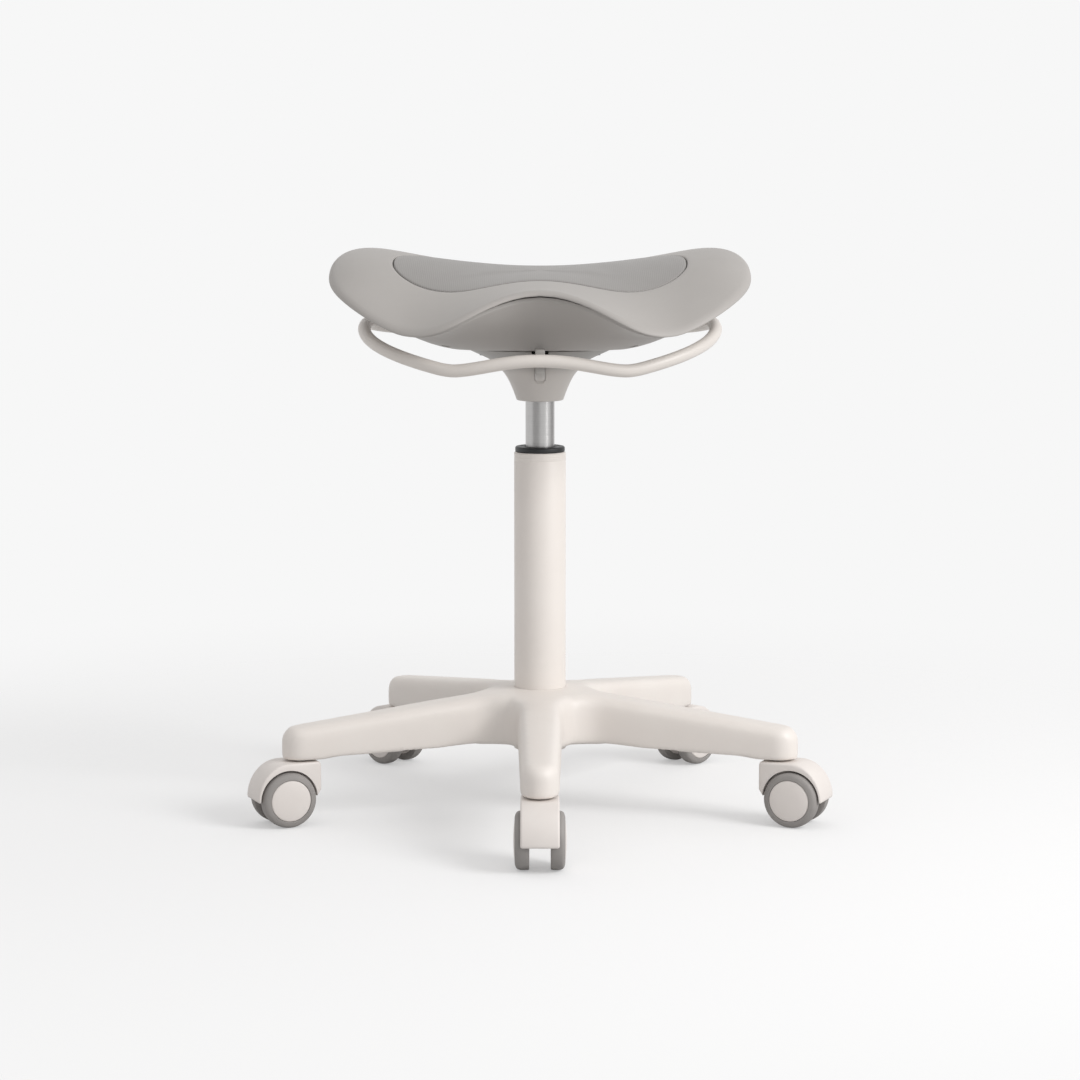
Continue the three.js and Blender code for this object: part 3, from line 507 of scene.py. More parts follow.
def plan_edge(plan, turn):
    x = plan["half"] * boxed(math.cos(turn))
    depth = plan_depth(plan, x, math.sin(turn) < 0)
    return x, plan["middle"] + depth * boxed(math.sin(turn))


def lerp(a, b, share):
    return a + (b - a) * share


def plan_point(plan, turn, share):
    """A point on the way from a plan's middle to its edge."""
    x, y = plan_edge(plan, turn)
    return x * share, lerp(plan["middle"], y, share)


def plan_share(plan, x, y):
    """How far out a point lies, from 0 in the middle of a plan to 1 at its edge."""
    across = abs(x) / plan["half"]
    along = abs(y - plan["middle"]) / plan_depth(plan, x, y < plan["middle"])
    return min((across ** POWER + along ** POWER) ** (1 / POWER), 1)


print("seat is", 2 * SEAT["half"], "mm wide")

# %% Seat height
WING_AT, CREST, WING_RISE, WING_ROLL = 205, 524.5, 36, 26
RIDGE_MIDDLE, RIDGE_WING = 53.7, 70.2
LOBE_AT, FALL_MIDDLE, FALL_LOBE = 135, 11.8, 42.9
BEND_MIDDLE, BEND_WING = 1.3, 2.2
FRONT_RUN, REAR_RUN, REAR_FALL = 170, 100, 22
SHELL_THICK, SHELL_EDGE = 11, 5


def smoothstep(value):
    held = max(0, min(1, value))
    return held * held * (3 - 2 * held)


def saddle(x, y):
    """The seat's top: a crest from wing to wing that falls away ahead and behind."""
    out = abs(x) / WING_AT
    crest = CREST + WING_RISE * out ** 2 - WING_ROLL * out ** 8
    ridge = lerp(RIDGE_MIDDLE, RIDGE_WING, out * out)
    fall = lerp(FALL_MIDDLE, FALL_LOBE, smoothstep(abs(x) / LOBE_AT))
    power = lerp(BEND_MIDDLE, BEND_WING, smoothstep(out))
    ahead, behind = max(ridge - y, 0) / FRONT_RUN, max(y - ridge, 0) / REAR_RUN
    return crest - fall * ahead ** power - REAR_FALL * behind ** 2


def shell_underside(x, y):
    return saddle(x, y) - lerp(SHELL_THICK, SHELL_EDGE, plan_share(SEAT, x, y) ** 3)


print("crest", round(saddle(0, RIDGE_MIDDLE), 1), "mm high")

# %% [markdown]
# ## Seat shell
# The shell's rings start in the middle of the recess, climb its wall, round over its lip, follow
# the saddle out to the rim and come back underneath. Between the recess and the rim the outline
# changes gradually from the pad's to the seat's, so the lip is crisp and the rest stays smooth. The
# rim is a long soft nose above a tight lower edge.

# %% Rings of the shell
RECESS, RECESS_CORNER, LIP, LIP_MIDDLE = 6, 0.25, 0.9, (-0.25, -0.3)
TOP_RINGS, LIP_OVER = 26, 2
NOSE_BACK, NOSE_DROP, LOWER_EDGE = 6, 4.1, 0.9
DRAWN_TO = -17


def toward_middle(x, y, by):
    """A point drawn back towards the seat's middle by a real distance."""
    length = math.hypot(x, y - DRAWN_TO) or 1
    return x - by * x / length, y - by * (y - DRAWN_TO) / length


def shell_rings():
    """Each ring: the plan it follows, its share of that plan, how far back and how far up."""
    rings = [("pad", share, 0, -RECESS) for share in (0, 0.25, 0.5, 0.75, 0.93)]
    rings += [("pad", 1, RECESS_CORNER, -RECESS), ("pad", 1, 0, -RECESS + RECESS_CORNER)]
    rings += [("pad", 1, 0, -LIP), ("pad", 1, *LIP_MIDDLE), ("pad", 1, -LIP, 0)]
    rings += [("between", i / TOP_RINGS, lerp(-LIP_OVER, NOSE_BACK, i / TOP_RINGS), 0)
              for i in range(1, TOP_RINGS + 1)]
    for turn in map(math.radians, range(10, 91, 10)):
        rings.append(("between", 1, NOSE_BACK * (1 - math.sin(turn)),
                      -NOSE_DROP * (1 - math.cos(turn))))
    for turn in map(math.radians, (30, 60)):
        rings.append(("between", 1, LOWER_EDGE * (1 - math.cos(turn)),
                      -NOSE_DROP - LOWER_EDGE * math.sin(turn)))
    rings += [("under", share, LOWER_EDGE, 0)
              for share in (1, 0.98, 0.95, 0.91, 0.86, 0.8, 0.72, 0.62, 0.5, 0.35, 0.18, 0)]
    return rings


SHELL_RINGS = shell_rings()
print("shell has", len(SHELL_RINGS), "rings")

# %% Seat shell
def shell_point(ring, turn):
    kind, share, back, rise = SHELL_RINGS[ring]
    if kind == "between":
        x, y = [lerp(a, b, share) for a, b in zip(plan_edge(PAD, turn), plan_edge(SEAT, turn))]
    else:
        x, y = plan_point(PAD if kind == "pad" else SEAT, turn, share)
    x, y = toward_middle(x, y, back)
    base = shell_underside(x, y) if kind == "under" else saddle(x, y)
    return x, y, base + rise


shell = globe("saddle_shell", len(SHELL_RINGS) - 2, 144, shell_point)
stands_for(settle(shell, seat_skin, 50), "seat", "seat_plastic", "seat_shell")

# %% [markdown]
# ## Inset pad
# A thin foam pad with a woven cover lies in the recess. It starts as a globe pressed to the pad's
# outline. Then a short cloth simulation blows it up a little, with its edge and its underside held,
# which gives the cover the tight, slightly crowned look of fabric over foam.

# %% Inset pad
PAD_GAP, PAD_RISE, PAD_CROWN = 0.9, 0.9, 0.9
PAD_PLAN = inset(PAD, PAD_GAP)
PAD_EDGE, PAD_EDGE_TOP = 2.2, 0.7
PAD_SIDE, PAD_FOOT_EDGE, PAD_FOOT = -3.5, (0.6, -5.2), -5.4


def pad_rings():
    """Each ring: its share of the pad's plan, how far back and how far up."""
    rings = [(share, 0, PAD_RISE + PAD_CROWN * (1 - share ** 4))
             for share in (0, 0.06, 0.12, 0.19, 0.26, 0.33, 0.4, 0.47, 0.54, 0.61, 0.68, 0.74, 0.8,
                           0.85, 0.9, 0.94)]
    for turn in map(math.radians, (0, 22, 45, 68, 90)):
        rings.append((1, PAD_EDGE * (1 - math.sin(turn)),
                      PAD_EDGE_TOP - PAD_EDGE * (1 - math.cos(turn))))
    rings += [(1, 0, PAD_SIDE), (1, *PAD_FOOT_EDGE)]
    return rings + [(share, 0, PAD_FOOT) for share in (0.9, 0.7, 0.45, 0.2, 0)]


PAD_RINGS = pad_rings()


def pad_point(ring, turn):
    share, back, rise = PAD_RINGS[ring]
    x, y = toward_middle(*plan_point(PAD_PLAN, turn, share), back)
    return x, y, saddle(x, y) + rise


pad = globe("woven_pad", len(PAD_RINGS) - 2, 120, pad_point)
settle(pad, cover, 60)
print("pad drawn with", len(pad.data.vertices), "points")

# %% Blow up the cover
PRESSURE, STIFFNESS, FRAMES = 4, 30, 20
HELD_SHARE, HELD_DEPTH, MOST_SWELL = 0.97, 1, 1.6
drawn = [vertex.co.copy() for vertex in pad.data.vertices]
held = pad.vertex_groups.new(name="held")
for vertex in pad.data.vertices:
    x, y = vertex.co.x / MM, (vertex.co.y - COLUMN_Y) / MM
    at_edge = plan_share(PAD_PLAN, x, y) > HELD_SHARE
    under = vertex.co.z / MM < saddle(x, y) - HELD_DEPTH
    held.add([vertex.index], 1.0 if under or at_edge else 0.0, "REPLACE")
pick(pad)
swelling = pad.modifiers.new("Cover", "CLOTH")
swelling.settings.use_pressure = True
swelling.settings.uniform_pressure_force = PRESSURE
swelling.settings.effector_weights.gravity = 0
swelling.settings.vertex_group_mass = held.name
swelling.settings.tension_stiffness = STIFFNESS
swelling.settings.compression_stiffness = STIFFNESS
for step in range(1, FRAMES + 1):
    bpy.context.scene.frame_set(step)
bpy.ops.object.modifier_apply(modifier=swelling.name)
bpy.context.scene.frame_set(1)
furthest = 0
for vertex, start in zip(pad.data.vertices, drawn):
    moved = vertex.co - start
    furthest = max(furthest, moved.length)
    if moved.length > MOST_SWELL * MM:
        vertex.co = start + moved.normalized() * MOST_SWELL * MM
pad.vertex_groups.clear()
print("cover swelled by", round(furthest / MM, 2), "mm, held to", MOST_SWELL)

# %% Thread directions
threads_map = pad.data.uv_layers.new(name=THREADS_MAP)
for loop in pad.data.loops:
    point = pad.data.vertices[loop.vertex_index].co
    threads_map.data[loop.index].uv = (point.x, point.y)
modify(pad, "SUBSURF", levels=1, render_levels=1)
stands_for(pad, "seat", "seat_fabric", "seat_pad")

# %% [markdown]
# ## Belly pan
# Under the shell is a bowl that carries the load: flat in the middle where the support bolts on,
# then rising to just under the shell's edge. Its rings run out along the inside, over the lip and
# back along the outside. Four places for screw heads are cut at the end.

# %% Belly pan
PAN_INSET, PAN_WALL, PAN_GAP, PAN_LOW = 8, 4, 0.35, 450.5
PAN = inset(SEAT, PAN_INSET)
FLAT_SHARE, RISING_SHARE = 0.42, 0.58
RISE_FRONT, RISE_REAR = 1.5, 5


def belly(x, y):
    """The pan's outside: flat in the middle, then a climb that is steeper behind."""
    edge = shell_underside(x, y) - PAN_GAP - PAN_WALL
    power = lerp(RISE_FRONT, RISE_REAR, smoothstep((y - SEAT["middle"]) / PAN["rear"]))
    out = max(plan_share(PAN, x, y) - FLAT_SHARE, 0) / RISING_SHARE
    return lerp(PAN_LOW, edge, out ** power)


PAN_SHARES = [0, 0.12, 0.24, 0.34, 0.4, 0.45, 0.5, 0.56, 0.62, 0.68, 0.74, 0.8, 0.85, 0.9, 0.94,
              0.97, 0.99]
PAN_RINGS = [(share, PAN_WALL) for share in PAN_SHARES]
PAN_RINGS += [(0.996, PAN_WALL), (1, PAN_WALL * 0.8), (1, PAN_WALL * 0.2), (0.996, 0)]
PAN_RINGS += [(share, 0) for share in reversed(PAN_SHARES)]


def pan_point(ring, turn):
    share, rise = PAN_RINGS[ring]
    x, y = plan_point(PAN, turn, share)
    return x, y, belly(x, y) + rise


pan = globe("belly_pan", len(PAN_RINGS) - 2, 120, pan_point)
print("pan has", len(PAN_RINGS), "rings")

# %% Screw places of the pan
HEAD_BORE, BORE_REACH = 4.3, 20
for x, y in [(x * way, y) for x, y in ((106, 34.05), (88, -72)) for way in (1, -1)]:
    cut(pan, drum(HEAD_BORE, belly(x, y) - BORE_REACH, belly(x, y) + BORE_REACH, (x, y), sides=32))
stands_for(settle(pan, seat_skin, 35), "seat", "seat_plastic", "seat_underpan")

# %% [markdown]
# ## Seat support
# The support is an aluminium casting shaped like a trumpet's bell. Its rings run down the flare to
# the foot, where the pressure tube's taper goes in, and its top follows the pan's belly. The slot
# for the lever narrows at its foot.

# %% Trumpet profile
def through(points, steps):
    """A smooth line through points, by Catmull-Rom pieces."""
    line = []
    padded_points = [points[0]] + points + [points[-1]]
    for i in range(1, len(padded_points) - 2):
        a, b, c, d = padded_points[i - 1:i + 3]
        for k in range(steps):
            t = k / steps
            line.append(tuple(0.5 * (2 * q + (r - p) * t + (2 * p - 5 * q + 4 * r - s) * t * t
                                     + (3 * q - p - 3 * r + s) * t ** 3)
                              for p, q, r, s in zip(a, b, c, d)))
    return line + [points[-1]]


FLARE = through([(20.4, 398.6), (22.6, 399.3), (23.4, 401.6), (26.6, 410.1), (31.2, 419.9),
                 (37.4, 428.3), (48.4, 438.3), (63.8, 445.6), (72.5, 449.9), (80, 453.9)], 4)
print("flare has", len(FLARE), "points")

# %% Trumpet body
SUPPORT_GAP, SUPPORT_TOP, RIM_EDGE = 0.3, 457, 1
RIM_FROM, RIM_TO, RIM_STEP = 60, 80, 0.25
STRETCHED_FROM = 48.4
TOP_SHARES = [0, 0.2, 0.4, 0.6, 0.8, 0.95, 0.99]


def flare_height(radius):
    for (r0, z0), (r1, z1) in zip(FLARE, FLARE[1:]):
        if r0 <= radius <= r1:
            return lerp(z0, z1, (radius - r0) / (r1 - r0))
    return FLARE[-1][1]


def support_top(radius, turn):
    return min(belly(radius * math.cos(turn), radius * math.sin(turn)) - SUPPORT_GAP, SUPPORT_TOP)


def rim_radius(turn):
    """Where the flare meets the top, with a thin edge left between them."""
    radius = RIM_FROM
    while radius < RIM_TO and flare_height(radius) < support_top(radius, turn) - RIM_EDGE:
        radius += RIM_STEP
    return radius


def support_point(ring, turn):
    rim = rim_radius(turn)
    index = len(FLARE) - 1 - (ring - len(TOP_SHARES))
    if ring < len(TOP_SHARES):
        radius = rim * TOP_SHARES[ring]
        height = support_top(radius, turn)
    elif index < 0:
        radius, height = 0, FLARE[0][1]
    else:
        radius, height = FLARE[index]
        if radius > STRETCHED_FROM:
            share = (radius - STRETCHED_FROM) / (RIM_TO - STRETCHED_FROM)
            radius = lerp(STRETCHED_FROM, rim, share)
            height = flare_height(radius)
    return radius * math.cos(turn), radius * math.sin(turn), height


support = globe("trumpet_support", len(TOP_SHARES) + len(FLARE) - 1, 128, support_point)
print("support drawn with", len(support.data.polygons), "faces")

# %% [markdown]
# Three bars cut the slot: its straight walls, its narrow foot and a wider part near the belly. The
# lever swings about a pin that crosses it.

# %% Trumpet slot and sockets
WELL, WELL_FLOOR, TAPER_BORE, TAPER_TOP = 20, 434, 14.3, 436
PIN_BORE, PIN_HALF, PIVOT = 2.8, 60, (-28, 436)
SCREW_CIRCLE, SCREW_TURN, SHANK_BORE, HEAD_SEAT = 56, math.radians(15), 2.5, 446.2
BELOW, ABOVE, AHEAD = 390, 480, -95
# Each slot: half its width and its height at the top, the same at the foot, and its rear end.
SLOTS = [(5.1, 470, 5.1, 419.5, -18), (5.1, 421, 3, 416.5, -29.2), (8, 470, 8, 441, -36)]
cut(support, drum(WELL, WELL_FLOOR, ABOVE))
for half, top, foot_half, foot, rear in SLOTS:
    outline = [(half, top), (-half, top), (-foot_half, foot), (foot_half, foot)]
    cut(support, slab("slot", outline, "Y", AHEAD, rear))
cut(support, drum(TAPER_BORE, BELOW, TAPER_TOP))
cut(support, drum(PIN_BORE, -PIN_HALF, PIN_HALF, PIVOT, "X", 24))
for k in (-1, 1):
    for way in (-1, 1):
        at = (way * SCREW_CIRCLE * math.cos(SCREW_TURN), k * SCREW_CIRCLE * math.sin(SCREW_TURN))
        cut(support, drum(HEAD_BORE, BELOW, HEAD_SEAT, at, sides=24))
        cut(support, drum(SHANK_BORE, BELOW, ABOVE, at, sides=16))
soften(support, 0.5, segments=2)
stands_for(settle(support, grey_with_painted_shade, 35), "seat", "support_paint", "seat_support")

# %% [markdown]
# ## Ring lever
# The lever is a tube bent into a closed ring, low in front, with a small rise at the grip, and
# higher round the sides and behind. A torus has just that make-up, so each of its rings is carried
# to a point of the bent line and turned square to it.

# %% Ring line
RING = {"half": 167, "front": 116, "rear": 127, "middle": -24, "low": 436, "bar": 6}
CLIMB, CLIMB_FROM, CLIMB_OVER = 40, 27, 71
GRIP_RISE, GRIP_TO = 9.8, 26
DIP, DIP_FROM, DIP_OVER = 11, 80, 55


def ramp(value, bend=0.05):
    """A straight climb from 0 to 1 with its two ends rounded."""
    def foot(v):
        return 0 if v <= -bend else v if v >= bend else (v + bend) ** 2 / (4 * bend)
    return foot(value) - foot(value - 1)


def ring_line(turn):
    """The bar's middle at one turn, counted from the very front."""
    c, s = math.cos(turn), math.sin(turn)
    degrees = abs(math.degrees(math.atan2(s, c)))
    climb = CLIMB * ramp((degrees - CLIMB_FROM) / CLIMB_OVER)
    grip = GRIP_RISE * (1 - smoothstep(degrees / GRIP_TO))
    dip = DIP * smoothstep((degrees - DIP_FROM) / DIP_OVER)
    return Vector((RING["half"] * boxed(s),
                   RING["middle"] - RING["front" if c > 0 else "rear"] * boxed(c),
                   RING["low"] + climb + grip - dip))


print("ring is", round(ring_line(0).z, 1), "mm high in front")

# %% Ring lever
NEARBY = 0.004
lever = new(bpy.ops.mesh.primitive_torus_add, "ring_lever_tube", major_segments=240,
            minor_segments=24, major_radius=1, minor_radius=0.25)
for vertex in lever.data.vertices:
    turn = math.atan2(vertex.co.y, vertex.co.x)
    across = math.atan2(vertex.co.z, math.hypot(vertex.co.x, vertex.co.y) - 1)
    along = (ring_line(turn + NEARBY) - ring_line(turn - NEARBY)).normalized()
    out = along.cross(Vector((0, 0, 1))).normalized()
    up = out.cross(along)
    vertex.co = ring_line(turn) + RING["bar"] * (math.cos(across) * out + math.sin(across) * up)
face_outwards(lever)
print("ring spans", [round(v, 1) for v in lever.dimensions])

# %% [markdown]
# The blade that carries the ring is a flat plate, thick enough to be welded to the tube. It is a
# side view, pushed out to its thickness and bevelled.

# %% Lever blade
BLADE_HALF = 4.5
BLADE = [(-138.5, 456), (-122.5, 456), (-96.9, 447.3), (8, 447.3), (8, 443.5), (-15.2, 443.5),
         (-20, 436), (-28, 428), (-36, 420.5), (-45, 420.5), (-122.5, 429.3), (-138.5, 434)]
blade = slab("lever_blade", BLADE, "X", -BLADE_HALF, BLADE_HALF)
soften(blade, 1.2)
# The blade wears the support's paint, so its upper part is darkened by the same painted shade.
stands_for(settle(blade, grey_with_painted_shade), "lever", "lever_paint", "lever_arm")
stands_for(settle(lever, pearl_white), "lever", "lever_paint", "ring_lever")

# %% [markdown]
# ## Column
# The stand tube, the black bush and the bright pressure tube are all turned parts, so each is a
# half profile spun about the axis. Small bevels catch the light as machined edges do.

# %% Stand tube
TUBE = [(24.2, 58.5), (25, 119.2), (25, 340.4), (24.8, 340.9), (25, 341.4), (25, 344),
        (24.75, 344.5), (25, 345), (25, 347.6), (24, 348.8), (23, 348.8), (23, 119.2), (22.2, 60.1),
        (19.7, 60.1), (19.7, 58.5)]
tube = spun("column_tube", TUBE)
stands_for(settle(tube, warm_white, 25), "base", "tube_paint", "stand_tube")

# %% Guide bush
BUSH = [(14.3, 290.8), (22.7, 290.8), (22.7, 349.1), (23.4, 349.1), (24, 349.7), (24, 353),
        (23, 354.1), (20, 354.1), (19.4, 353.6), (16.6, 353.6), (16, 354.1), (15, 354.1),
        (14.3, 353.4)]
bush = spun("guide_collar", BUSH)
soften(bush, 0.25, segments=2, over=30)
stands_for(settle(bush, black_nylon, 30), "base", "bush_black", "guide_bush")

# %% Pressure tube
BRIGHT = [(12.2, 130), (14, 131.8), (14, 401), (13, 440), (4.3, 440), (4.3, 431), (11.2, 431),
          (12.2, 401), (12.2, 140), (5.3, 140), (5.3, 130)]
pressure = spun("bright_tube", BRIGHT)
stands_for(settle(pressure, chromed_steel, 25), "seat", "bright_steel", "pressure_tube")

# %% [markdown]
# ## Five-star base
# The base is one casting: five arms that melt into the hub with broad fillets. Each arm is a globe
# laid on its side, with rounded sections that widen into the hub. The arms and the hub are joined
# and skinned over together with a voxel remesh, and smoothing turns the joints into fillets.

# %% Arm sections
WHEEL = 26.8
AXLE_Z = WHEEL * math.cos(math.pi / 20)
HOOD_LONG, HOOD_HIGH = 30.7, 34.7
HOOD_TOP = AXLE_Z + HOOD_HIGH
ARM_FOOT = HOOD_TOP + 1.5
ARMS, REACH, TIP = 5, 239, 18.8
HALF_STEP = math.pi / ARMS
TUBE_RADIUS, HUB_TOP, TIP_HEIGHT = 25, 119.2, 31.6
ROOT_HALF, END_HALF, FILLET = 21, 17.8, 30
FILLET_AT = (ROOT_HALF + FILLET) / math.tan(HALF_STEP)
WEB = (ROOT_HALF + FILLET) / math.sin(HALF_STEP) - FILLET
OVERLAP = 0.3
CORNER, FOOT_CORNER, FLATNESS = 12, 3, 3
FOOT_RUN, FOOT_STEP, FLOOR_RISE = 16, 1.6, 4.2
STATIONS = [20, 30, 38, 44, 50, 55, 60, 65, 70, 85, 110, 140, 170, 195, 207, 215, 223, 231, 239,
            244, 248.5, 252.2, 255, 256.8, 257.6]


def arm_half_width(u):
    """Half the width, so far from the column: a wedge, a fillet, a taper and a round tip."""
    if u > REACH:
        return END_HALF * math.sqrt(max(1 - ((u - REACH) / TIP) ** 2, 0))
    if u < WEB * math.cos(HALF_STEP):
        return u * math.tan(HALF_STEP) + OVERLAP
    if u < FILLET_AT:
        return ROOT_HALF + FILLET - math.sqrt(FILLET ** 2 - (FILLET_AT - u) ** 2)
    return lerp(ROOT_HALF, END_HALF, (u - FILLET_AT) / (REACH - FILLET_AT))


def arm_top(u):
    """A straight slope that rounds off at the tip."""
    slope = (u - TUBE_RADIUS) / (REACH - TUBE_RADIUS)
    line = lerp(HUB_TOP, ARM_FOOT + TIP_HEIGHT, slope)
    past = max(u - (REACH + TIP - CORNER), 0)
    return line - CORNER + math.sqrt(max(CORNER ** 2 - past * past, 0))


def arm_floor(u):
    """Level over the hood, then rising a little towards the hub."""
    inward = max(REACH - FOOT_RUN - u, 0)
    return (ARM_FOOT + FOOT_STEP * smoothstep(inward / FOOT_RUN)
            + FLOOR_RISE * inward / (REACH - TUBE_RADIUS))


print("arm foot at", round(ARM_FOOT, 1), "mm, web reaches", round(WEB, 1), "mm")

# %% One arm
def arm_point(ring, turn):
    """A section with broad upper corners and tight lower ones."""
    u = STATIONS[min(max(ring - 1, 0), len(STATIONS) - 1)]
    half, top, floor = arm_half_width(u), arm_top(u), arm_floor(u)
    if ring in (0, len(STATIONS) + 1):
        return u, 0, (top + floor) / 2
    corner = min(CORNER, half)
    foot = min(FOOT_CORNER, half / 2)
    c, s = math.cos(turn), math.sin(turn)
    radius = corner if s > 0 else foot
    flat_y, flat_z = half - radius, (top - corner - (floor + foot)) / 2
    middle = (top - corner + floor + foot) / 2
    y = math.copysign(flat_y, c) * min(1, abs(c) * FLATNESS) + radius * c
    z = middle + math.copysign(flat_z, s) * min(1, abs(s) * FLATNESS) + radius * s
    return u, y, z


def arm_turn(k):
    return 2 * HALF_STEP * k - math.pi / 2


def socket(k):
    """Where a caster's stem goes into an arm."""
    return REACH * math.cos(arm_turn(k)), REACH * math.sin(arm_turn(k))


print("first socket at", [round(v, 1) for v in socket(0)])

# %% Hollow under an arm
WALL, HOLLOW_END, HOLLOW_BELOW, ROOF_SHARE = 4.5, 34, 6, 0.6


def arm_hollow():
    """A block that leaves a wall of one thickness, narrower at its roof."""
    hollow = new(bpy.ops.mesh.primitive_cube_add, "hollow", size=1)
    edit(bpy.ops.mesh.subdivide, number_cuts=3)
    for vertex in hollow.data.vertices:
        along, across, up = vertex.co + Vector((0.5, 0, 0.5))
        u = lerp(FILLET_AT, REACH - HOLLOW_END, along)
        half, roof = arm_half_width(u) - WALL, arm_top(u) - WALL
        y = across * 2 * half * (ROOF_SHARE if up > 0.9 else 1)
        vertex.co = (u, y, lerp(ARM_FOOT - HOLLOW_BELOW, roof, up))
    return hollow


print("hollow leaves a wall of", WALL, "mm")

# %% Join the base
HUB = [(0, 53), (24.3, 53), (26, 62), (31.5, 68.4), (WEB - 3, 68.4), (WEB - 0.3, 71.4),
       (WEB - 0.3, 105), (WEB - 4, 112), (WEB - 12, 116.6), (25, HUB_TOP), (0, HUB_TOP)]
star = spun("star_base", HUB)
arms = []
for k in range(ARMS):
    arm = globe("arm", len(STATIONS), 48, arm_point)
    cut(arm, arm_hollow())
    arm.data.transform(Matrix.Rotation(arm_turn(k), 4, "Z"))
    arms.append(arm)
nothing_selected()
for piece in arms + [star]:
    piece.select_set(True)
bpy.context.view_layer.objects.active = star
bpy.ops.object.join()
print("base joined from", len(arms), "arms and a hub")

# %% Skin and smooth the base
VOXEL, LIGHT_PASSES, HUB_PASSES = 2.0, 6, 45
KEPT_TO, RISE_OVER, FULL_TO, FALL_OVER = 27, 8, 70, 45
modify(star, "REMESH", mode="VOXEL", voxel_size=VOXEL)
modify(star, "SMOOTH", factor=0.5, iterations=LIGHT_PASSES)
near_hub = star.vertex_groups.new(name="near_hub")
for vertex in star.data.vertices:
    out = math.hypot(vertex.co.x, vertex.co.y)
    rise, fall = smoothstep((out - KEPT_TO) / RISE_OVER), smoothstep((out - FULL_TO) / FALL_OVER)
    near_hub.add([vertex.index], (1 - fall) * rise, "REPLACE")
modify(star, "SMOOTH", factor=0.5, iterations=HUB_PASSES, vertex_group=near_hub.name)
star.vertex_groups.clear()
print("base skinned with", len(star.data.polygons), "faces")

# %% Bores of the base
TUBE_BORE, UNDER_HUB, OVER_HUB = 25.25, 40, 140
STEM_BORE, STEM_DEPTH, PAST = 5.8, 22, 8
cut(star, drum(TUBE_BORE, UNDER_HUB, OVER_HUB, sides=96))
for k in range(ARMS):
    cut(star, drum(STEM_BORE, ARM_FOOT - PAST, ARM_FOOT + STEM_DEPTH, socket(k), sides=24))
stands_for(settle(star, warm_white, 35), "base", "base_paint", "five_star_base")

# %% [markdown]
# ## Casters
# Each caster is a moulded hood over two wheels. One set is modelled with its stem at the origin and
# its wheels trailing along +X, then copied to the five arms, each copy with its own mesh. At rest
# the side casters have swung a little further than their arms point.

# %% Hood
TRAIL, HOOD_HALF, HOOD_REAR = 19, 17.5, -13.5
WHEEL_WELL, WELL_FROM, WELL_TO = 28.5, 8.6, 24
AXLE_BORE, AXLE_REACH, HOOD_STEM_DEPTH = 4.3, 20, 18.3


def hood_outline():
    """From the side: a quarter of an ellipse, a corner and a straight back."""
    arc = [(TRAIL + HOOD_LONG * math.cos(math.radians(d)),
            AXLE_Z + HOOD_HIGH * math.sin(math.radians(d)))
           for d in [-1.3] + list(range(4, 91, 4)) + [90]]
    corner = [(-10.5, HOOD_TOP), (-12.6, HOOD_TOP - 0.9), (HOOD_REAR, HOOD_TOP - 3)]
    return arc + corner + [(HOOD_REAR, HOOD_TOP - 27), (TRAIL - WHEEL, AXLE_Z - 0.8)]


hood = slab("hood", hood_outline(), "Y", -HOOD_HALF, HOOD_HALF)
soften(hood, 2.0)
for way in (-1, 1):
    cut(hood, drum(WHEEL_WELL, way * WELL_FROM, way * WELL_TO, (TRAIL, AXLE_Z), "Y", 64))
cut(hood, drum(AXLE_BORE, -AXLE_REACH, AXLE_REACH, (TRAIL, AXLE_Z), "Y", 24))
cut(hood, drum(STEM_BORE, HOOD_TOP - HOOD_STEM_DEPTH, HOOD_TOP + PAST, sides=24))
print("hood has", len(hood.data.polygons), "faces")

# %% Tyre and core
TYRE = [(19.95, 9.6), (25.4, 9.6), (26, 9.9), (26.3, 10.7), (26.45, 13), (26.45, 16), (26.25, 18),
        (25.9, 19.4), (25.3, 20.5), (24.4, 21.3), (23.2, 21.9), (21.6, 22.4), (20.3, 22.6),
        (19.95, 22.4)]
CORE = [(0, 23.8), (6, 23.7), (12, 23.35), (18.4, 22.65), (19.2, 22.4), (19.6, 21.9), (19.6, 9.6),
        (4.3, 9.6), (4.3, 19.9), (0, 19.9)]
ON_AXLE = Matrix.Translation((TRAIL, 0, AXLE_Z)) @ Matrix.Rotation(math.pi / 2, 4, "X")
tyre, core = spun("tyre", TYRE, 72), spun("core", CORE, 72)
for piece in (tyre, core):
    piece.data.transform(ON_AXLE)
print("tyre and core modelled")

# %% Place the casters
TOES = [0, -7, -8, 8, 7]
AT_AXLE = Matrix.Translation((TRAIL, 0, 0))
OTHER_SIDE = AT_AXLE @ Matrix.Rotation(math.pi, 4, "Z") @ AT_AXLE.inverted()


def copy_of(piece, name, matrix, material):
    twin = piece.copy()
    twin.data = piece.data.copy()
    twin.name = name
    bpy.context.collection.objects.link(twin)
    return settle(twin, material, 35, TO_PLACE @ matrix)


for k, toe in enumerate(TOES):
    at_stem = (Matrix.Translation((*socket(k), 0))
               @ Matrix.Rotation(arm_turn(k) + math.radians(toe), 4, "Z"))
    number = k + 1
    stands_for(copy_of(hood, f"hood_{number}", at_stem, white_nylon), f"caster_{number}",
               "caster_plastic", f"caster_{number}_hood")
    for side, flip in (("a", Matrix.Identity(4)), ("b", OTHER_SIDE)):
        for part, material, slot in ((tyre, tread, "tread"), (core, white_nylon, "caster_plastic")):
            twin = copy_of(part, f"{part.name}_{number}_{side}", at_stem @ flip, material)
            stands_for(twin, f"wheel_{number}_{side}", slot, f"caster_{number}_{part.name}_{side}")
for piece in (hood, tyre, core):
    bpy.data.objects.remove(piece)

# %% [markdown]
# ## Hidden hardware
# The solids' own stems, axles, screws, clip, bearing, rod and pins are right as they are. They only
# get their steel.

